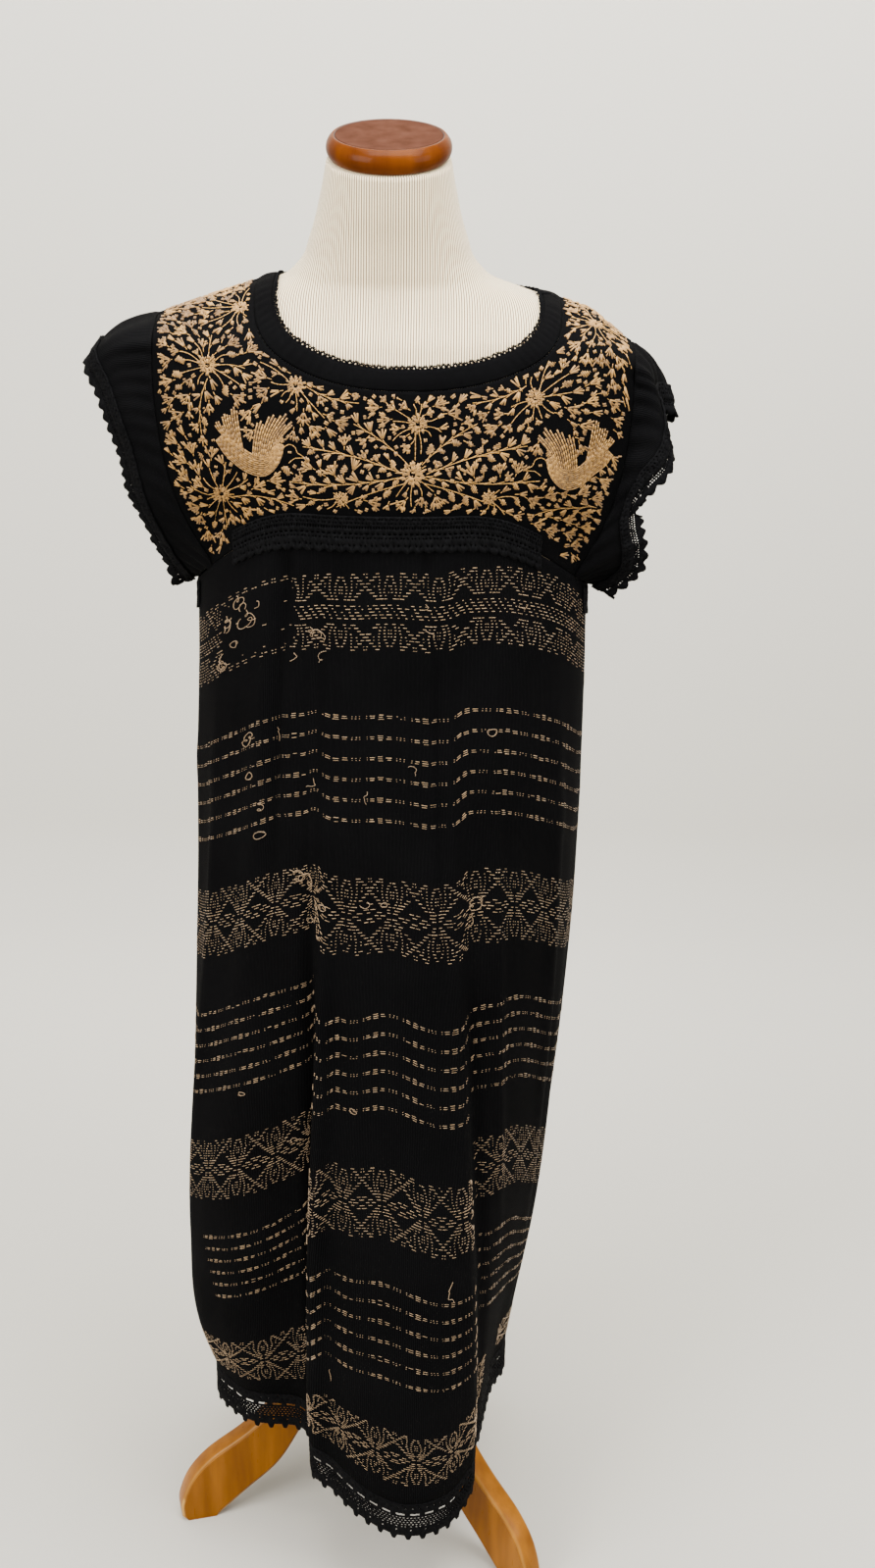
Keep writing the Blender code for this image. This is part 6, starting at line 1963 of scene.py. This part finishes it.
# %% Band over the bust seam, and the pieces under the arms
BUST_CHART = """
1.6 0.7 ########
1.5 0.1 #.##.##.
2.0 0.8 ########
1.5 0.1 .##.##.#
1.8 0.5 ########
2.4 0.1 #.#.#.#.
1.6 0.8 ########
2.2 0.3 ########
1.5 0.0 ##..##..
2.0 0.7 ########
1.5 0.1 #.##.##.
2.6 0.8 ########
2.6 0.3 ########
1.8 0.1 ##.##.##
2.6 0.7 ########
2.6 0.4 ########
"""
BUST_REPEAT, BUST_SCALLOP, BUST_BUMPS = 0.0098, 0.0026, 0.00045
SHELL_TOP, SHELL_RING, SHELL_RISE = 0.019, 0.0050, 0.0006


def shells(places, levels, pitch):
    """Relief of fans of stitches that stand side by side along the band's lower half."""
    across = (places / pitch) % 1.0 * pitch - pitch / 2.0
    down = levels[:, None] - SHELL_TOP
    ring = np.hypot(across, np.maximum(down, 0.0))
    return SHELL_RISE * np.cos(TAU * ring / SHELL_RING).clip(0.0) * (down > 0.0)


bust_lace = {}
for half, middle in (("front", 0.0), ("back", 180.0)):
    turn = np.radians(middle + np.linspace(-CHEST_LACE_ANGLE, CHEST_LACE_ANGLE, 400))
    run = length_run(skirt_flat(turn))
    repeats = round(run[-1] / BUST_REPEAT)
    levels, solid, lift = read_chart(BUST_CHART, repeats)
    places = np.linspace(0.0, run[-1], solid.shape[1] + 1)
    turn = np.interp(places, run, turn)
    scallop = BUST_SCALLOP * last_rows(levels, 4) ** 1.3 * (1.0 - waves(places, repeats))
    below = (levels * (CHEST_LACE_UP + CHEST_LACE_DOWN) / levels[-1])[:, None] - CHEST_LACE_UP - scallop
    grid = skirt_flat(np.broadcast_to(turn, below.shape), below)
    out = unit(grid * LEVEL)
    grid = grid + out * (CLOTH + LAID_GAP)
    lift = lift + shells(places, levels, run[-1] / repeats)
    bust_lace[half] = openwork("crochet_band_" + half, grid, solid, LACE * 0.6, out, 53, lift, BUST_BUMPS)
    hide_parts("chest_lace_" + half)

UNDERARM_HALF, UNDERARM_TOP, UNDERARM_LOW, UNDERARM_SCALLOP = 12.0, 0.006, 0.030, 0.004
UNDERARM_REPEATS, UNDERARM_ROWS = 8, 12
underarm_lace = {}
for side, middle in (("left", -90.0), ("right", 90.0)):
    levels, solid, lift = read_chart(BUST_CHART, UNDERARM_REPEATS, UNDERARM_ROWS)
    turn = np.radians(np.linspace(middle - UNDERARM_HALF, middle + UNDERARM_HALF, solid.shape[1] + 1))
    share = (levels / levels[-1])[:, None]
    scallop = UNDERARM_SCALLOP * share ** 3 * waves(np.linspace(0.0, 1.0, len(turn)), UNDERARM_REPEATS)
    grid = skirt_at(turn, UNDERARM_TOP + (UNDERARM_LOW - UNDERARM_TOP) * share + scallop / PANEL_LENGTH)
    out = unit(grid * LEVEL)
    grid = grid + out * (CLOTH + LAID_GAP)
    underarm_lace[side] = openwork("crochet_underarm_" + side, grid, solid, LACE * 0.6, out, 57, lift)
    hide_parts("underarm_lace_" + side)

# %% Sleeve edges
SLEEVE_CHART = """
1.6 0.6 ##########
1.4 0.1 #.##.##.##
1.8 0.8 ##########
1.5 0.1 ##.##.##.#
2.0 0.6 ##########
1.5 0.1 #.##.##.##
1.6 0.5 ##########
1.0 0.4 ##########
1.7 0.1 .#.#.#.#.#
1.3 0.5 ##########
1.5 0.1 #.#.#.#.#.
1.1 0.4 ##########
1.5 0.1 .#.#.#.#.#
1.3 0.6 ##########
1.6 0.2 ##########
3.0 0.6 ##########
"""
SLEEVE_REPEAT, ROWS_ON_SLEEVE, SLEEVE_BUMPS, WIDEST_SHARE, RAISED_OVER = 0.0125, 7, 0.00035, 0.45, 0.005


def on_sleeve(values, columns, share):
    """Values of the sleeve's grid at places along it and at shares of its width."""
    k = np.clip(columns.astype(int), 0, values.shape[1] - 2)
    across = (columns - k)[None, :, None]
    lines = values[:, k] * (1.0 - across) + values[:, k + 1] * across
    row = share * (values.shape[0] - 1)
    j = np.clip(row.astype(int), 0, values.shape[0] - 2)
    down = (row - j)[..., None]
    place_of = np.arange(len(columns))
    return lines[j, place_of] * (1.0 - down) + lines[j + 1, place_of] * down


sleeve_lace = {}
for side, (_, cloth_grid, cloth_normals) in sleeves.items():
    run = length_run(cloth_grid[-1])
    repeats = round(run[-1] / SLEEVE_REPEAT)
    levels, solid, lift = read_chart(SLEEVE_CHART, repeats)
    places = np.linspace(0.0, run[-1], solid.shape[1] + 1)
    columns = np.interp(places, run, np.arange(len(run)))
    width = np.linalg.norm(np.diff(cloth_grid, axis=0), axis=2).sum(axis=0)[columns.round().astype(int)]
    past = levels - levels[ROWS_ON_SLEEVE]
    inside = np.minimum(np.maximum(-past, 0.0)[:, None] / width, WIDEST_SHARE)
    base, face = (on_sleeve(values, columns, 1.0 - inside) for values in (cloth_grid, cloth_normals))
    lead = unit(base[ROWS_ON_SLEEVE] - base[ROWS_ON_SLEEVE - 1])
    point = last_rows(levels, 3) ** 1.2 * (waves(places, repeats) ** 1.5 - 0.15)
    reach = np.where(past < 0.0, 0.0, SLEEVE_SEAM + past * (SLEEVE_LACE - SLEEVE_SEAM) / past[-1])
    reach = reach[:, None] + SLEEVE_PICOT * point
    raised = (CLOTH + LAID_GAP) * smooth(1.0 - reach / RAISED_OVER)
    grid = base + lead * reach[..., None] + face * raised[..., None]
    sleeve_lace[side] = openwork("crochet_sleeve_" + side, grid, solid, LACE * 0.7, face, 59,
                                 lift, SLEEVE_BUMPS)
    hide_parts("sleeve_lace_" + side)

# %% Picot loops round the neck
PICOTS, PICOT_STEPS, PICOT_THREAD, PICOT_HIGH = 140, 6, 0.0025, 0.0008
KNOT_LOOPS, KNOT_SPREAD = 14, 0.0035
ring = neck_ring(0.0)
inward = unit(ring - neck_ring(0.004))
face = unit(np.cross(np.roll(ring, -1, axis=0) - np.roll(ring, 1, axis=0), inward))
face = face * np.where(face[:, 2] < 0.0, -1.0, 1.0)[:, None]
run = length_run(np.concatenate([ring, ring[:1]]))
draw = np.random.default_rng(61)


def on_ring(values, places):
    looped = np.concatenate([values, values[:1]])
    return np.stack([np.interp(places % run[-1], run, looped[:, c]) for c in range(3)], axis=-1)

pitch = run[-1] / PICOTS
turn = np.linspace(0.0, math.pi, PICOT_STEPS + 1)[None, :]
tall = PICOT_HEIGHT * draw.uniform(0.95, 1.3, (PICOTS, 1))
along = (np.arange(PICOTS)[:, None] + 0.5 + draw.uniform(-0.12, 0.12, (PICOTS, 1))) * pitch
along = along - 0.36 * pitch * np.cos(turn) * (1.0 + 0.35 * np.sin(turn))
rise = SEAM_GAP + PICOT_THREAD * 0.5 + (tall - PICOT_THREAD) * np.sin(turn)
loops = (on_ring(ring, along) + on_ring(inward, along) * rise[..., None]
         + on_ring(face, along) * (PICOT_LIFT * np.sin(turn) + 0.0004)[..., None])
chain_at = np.arange(2 * PICOTS + 1) * pitch / 2.0
chain = on_ring(ring, chain_at) + on_ring(inward, chain_at) * (SEAM_GAP + 0.0005)
starts = np.concatenate([loops[:, :-1].reshape(-1, 3), chain[:-1]])
ends = np.concatenate([loops[:, 1:].reshape(-1, 3), chain[1:]])
ups = np.concatenate([on_ring(face, along[:, :-1]).reshape(-1, 3), on_ring(face, chain_at[:-1])])

knot_at = on_ring(ring, np.array(run[len(run) // 2])) + np.array([0.002, 0.0, 0.0016])
for k in range(KNOT_LOOPS):
    stray = draw.normal(0.0, KNOT_SPREAD, 2)
    middle = knot_at + np.array([*stray, -SHOULDER_SLOPE * stray[0] - 0.35 * abs(stray[1])])
    spin = np.linspace(0.0, TAU, 9) + draw.uniform(0.0, TAU)
    size, tilt = draw.uniform(0.0016, 0.0030), draw.uniform(-0.4, 0.4)
    circle = middle + size * np.stack([np.cos(spin), np.sin(spin), tilt * np.cos(spin)], axis=1)
    starts, ends = np.concatenate([starts, circle[:-1]]), np.concatenate([ends, circle[1:]])
    ups = np.concatenate([ups, np.broadcast_to([0.0, 0.0, 1.0], (8, 3))])
points, faces = cords(starts, ends, unit(ups), PICOT_THREAD, PICOT_HIGH, below=0.0004, inset=0.2)
neck_lace = add_mesh("crochet_neck", points, faces, crochet_thread,
                     values={"tint_and_shade": draw.uniform(0.1, 1.0, len(points))})
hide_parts("neck_picot")
print(neck_lace.name, PICOTS, "loops and a knot of", KNOT_LOOPS)

# %% [markdown]
# ## The area of each piece of cloth
# Blender knows nothing about cloth sizes, so each sheet's area on one side is printed here,
# as half of its whole surface. A gathered piece was cut wider than the space it now takes up.

def cut_area(piece):
    """One side of a thin sheet: half of its whole surface."""
    return sum(face.area for face in piece.data.polygons) / 2.0


caps = {side: entry[0] for side, entry in sleeves.items()}
for group in (skirt_panels, yoke_panels, hem_lace, bust_lace, caps, sleeve_lace, underarm_lace,
              {"neck": neck_band}):
    for piece in group.values():
        print(piece.name, "one side", round(cut_area(piece), 4), "square metres")
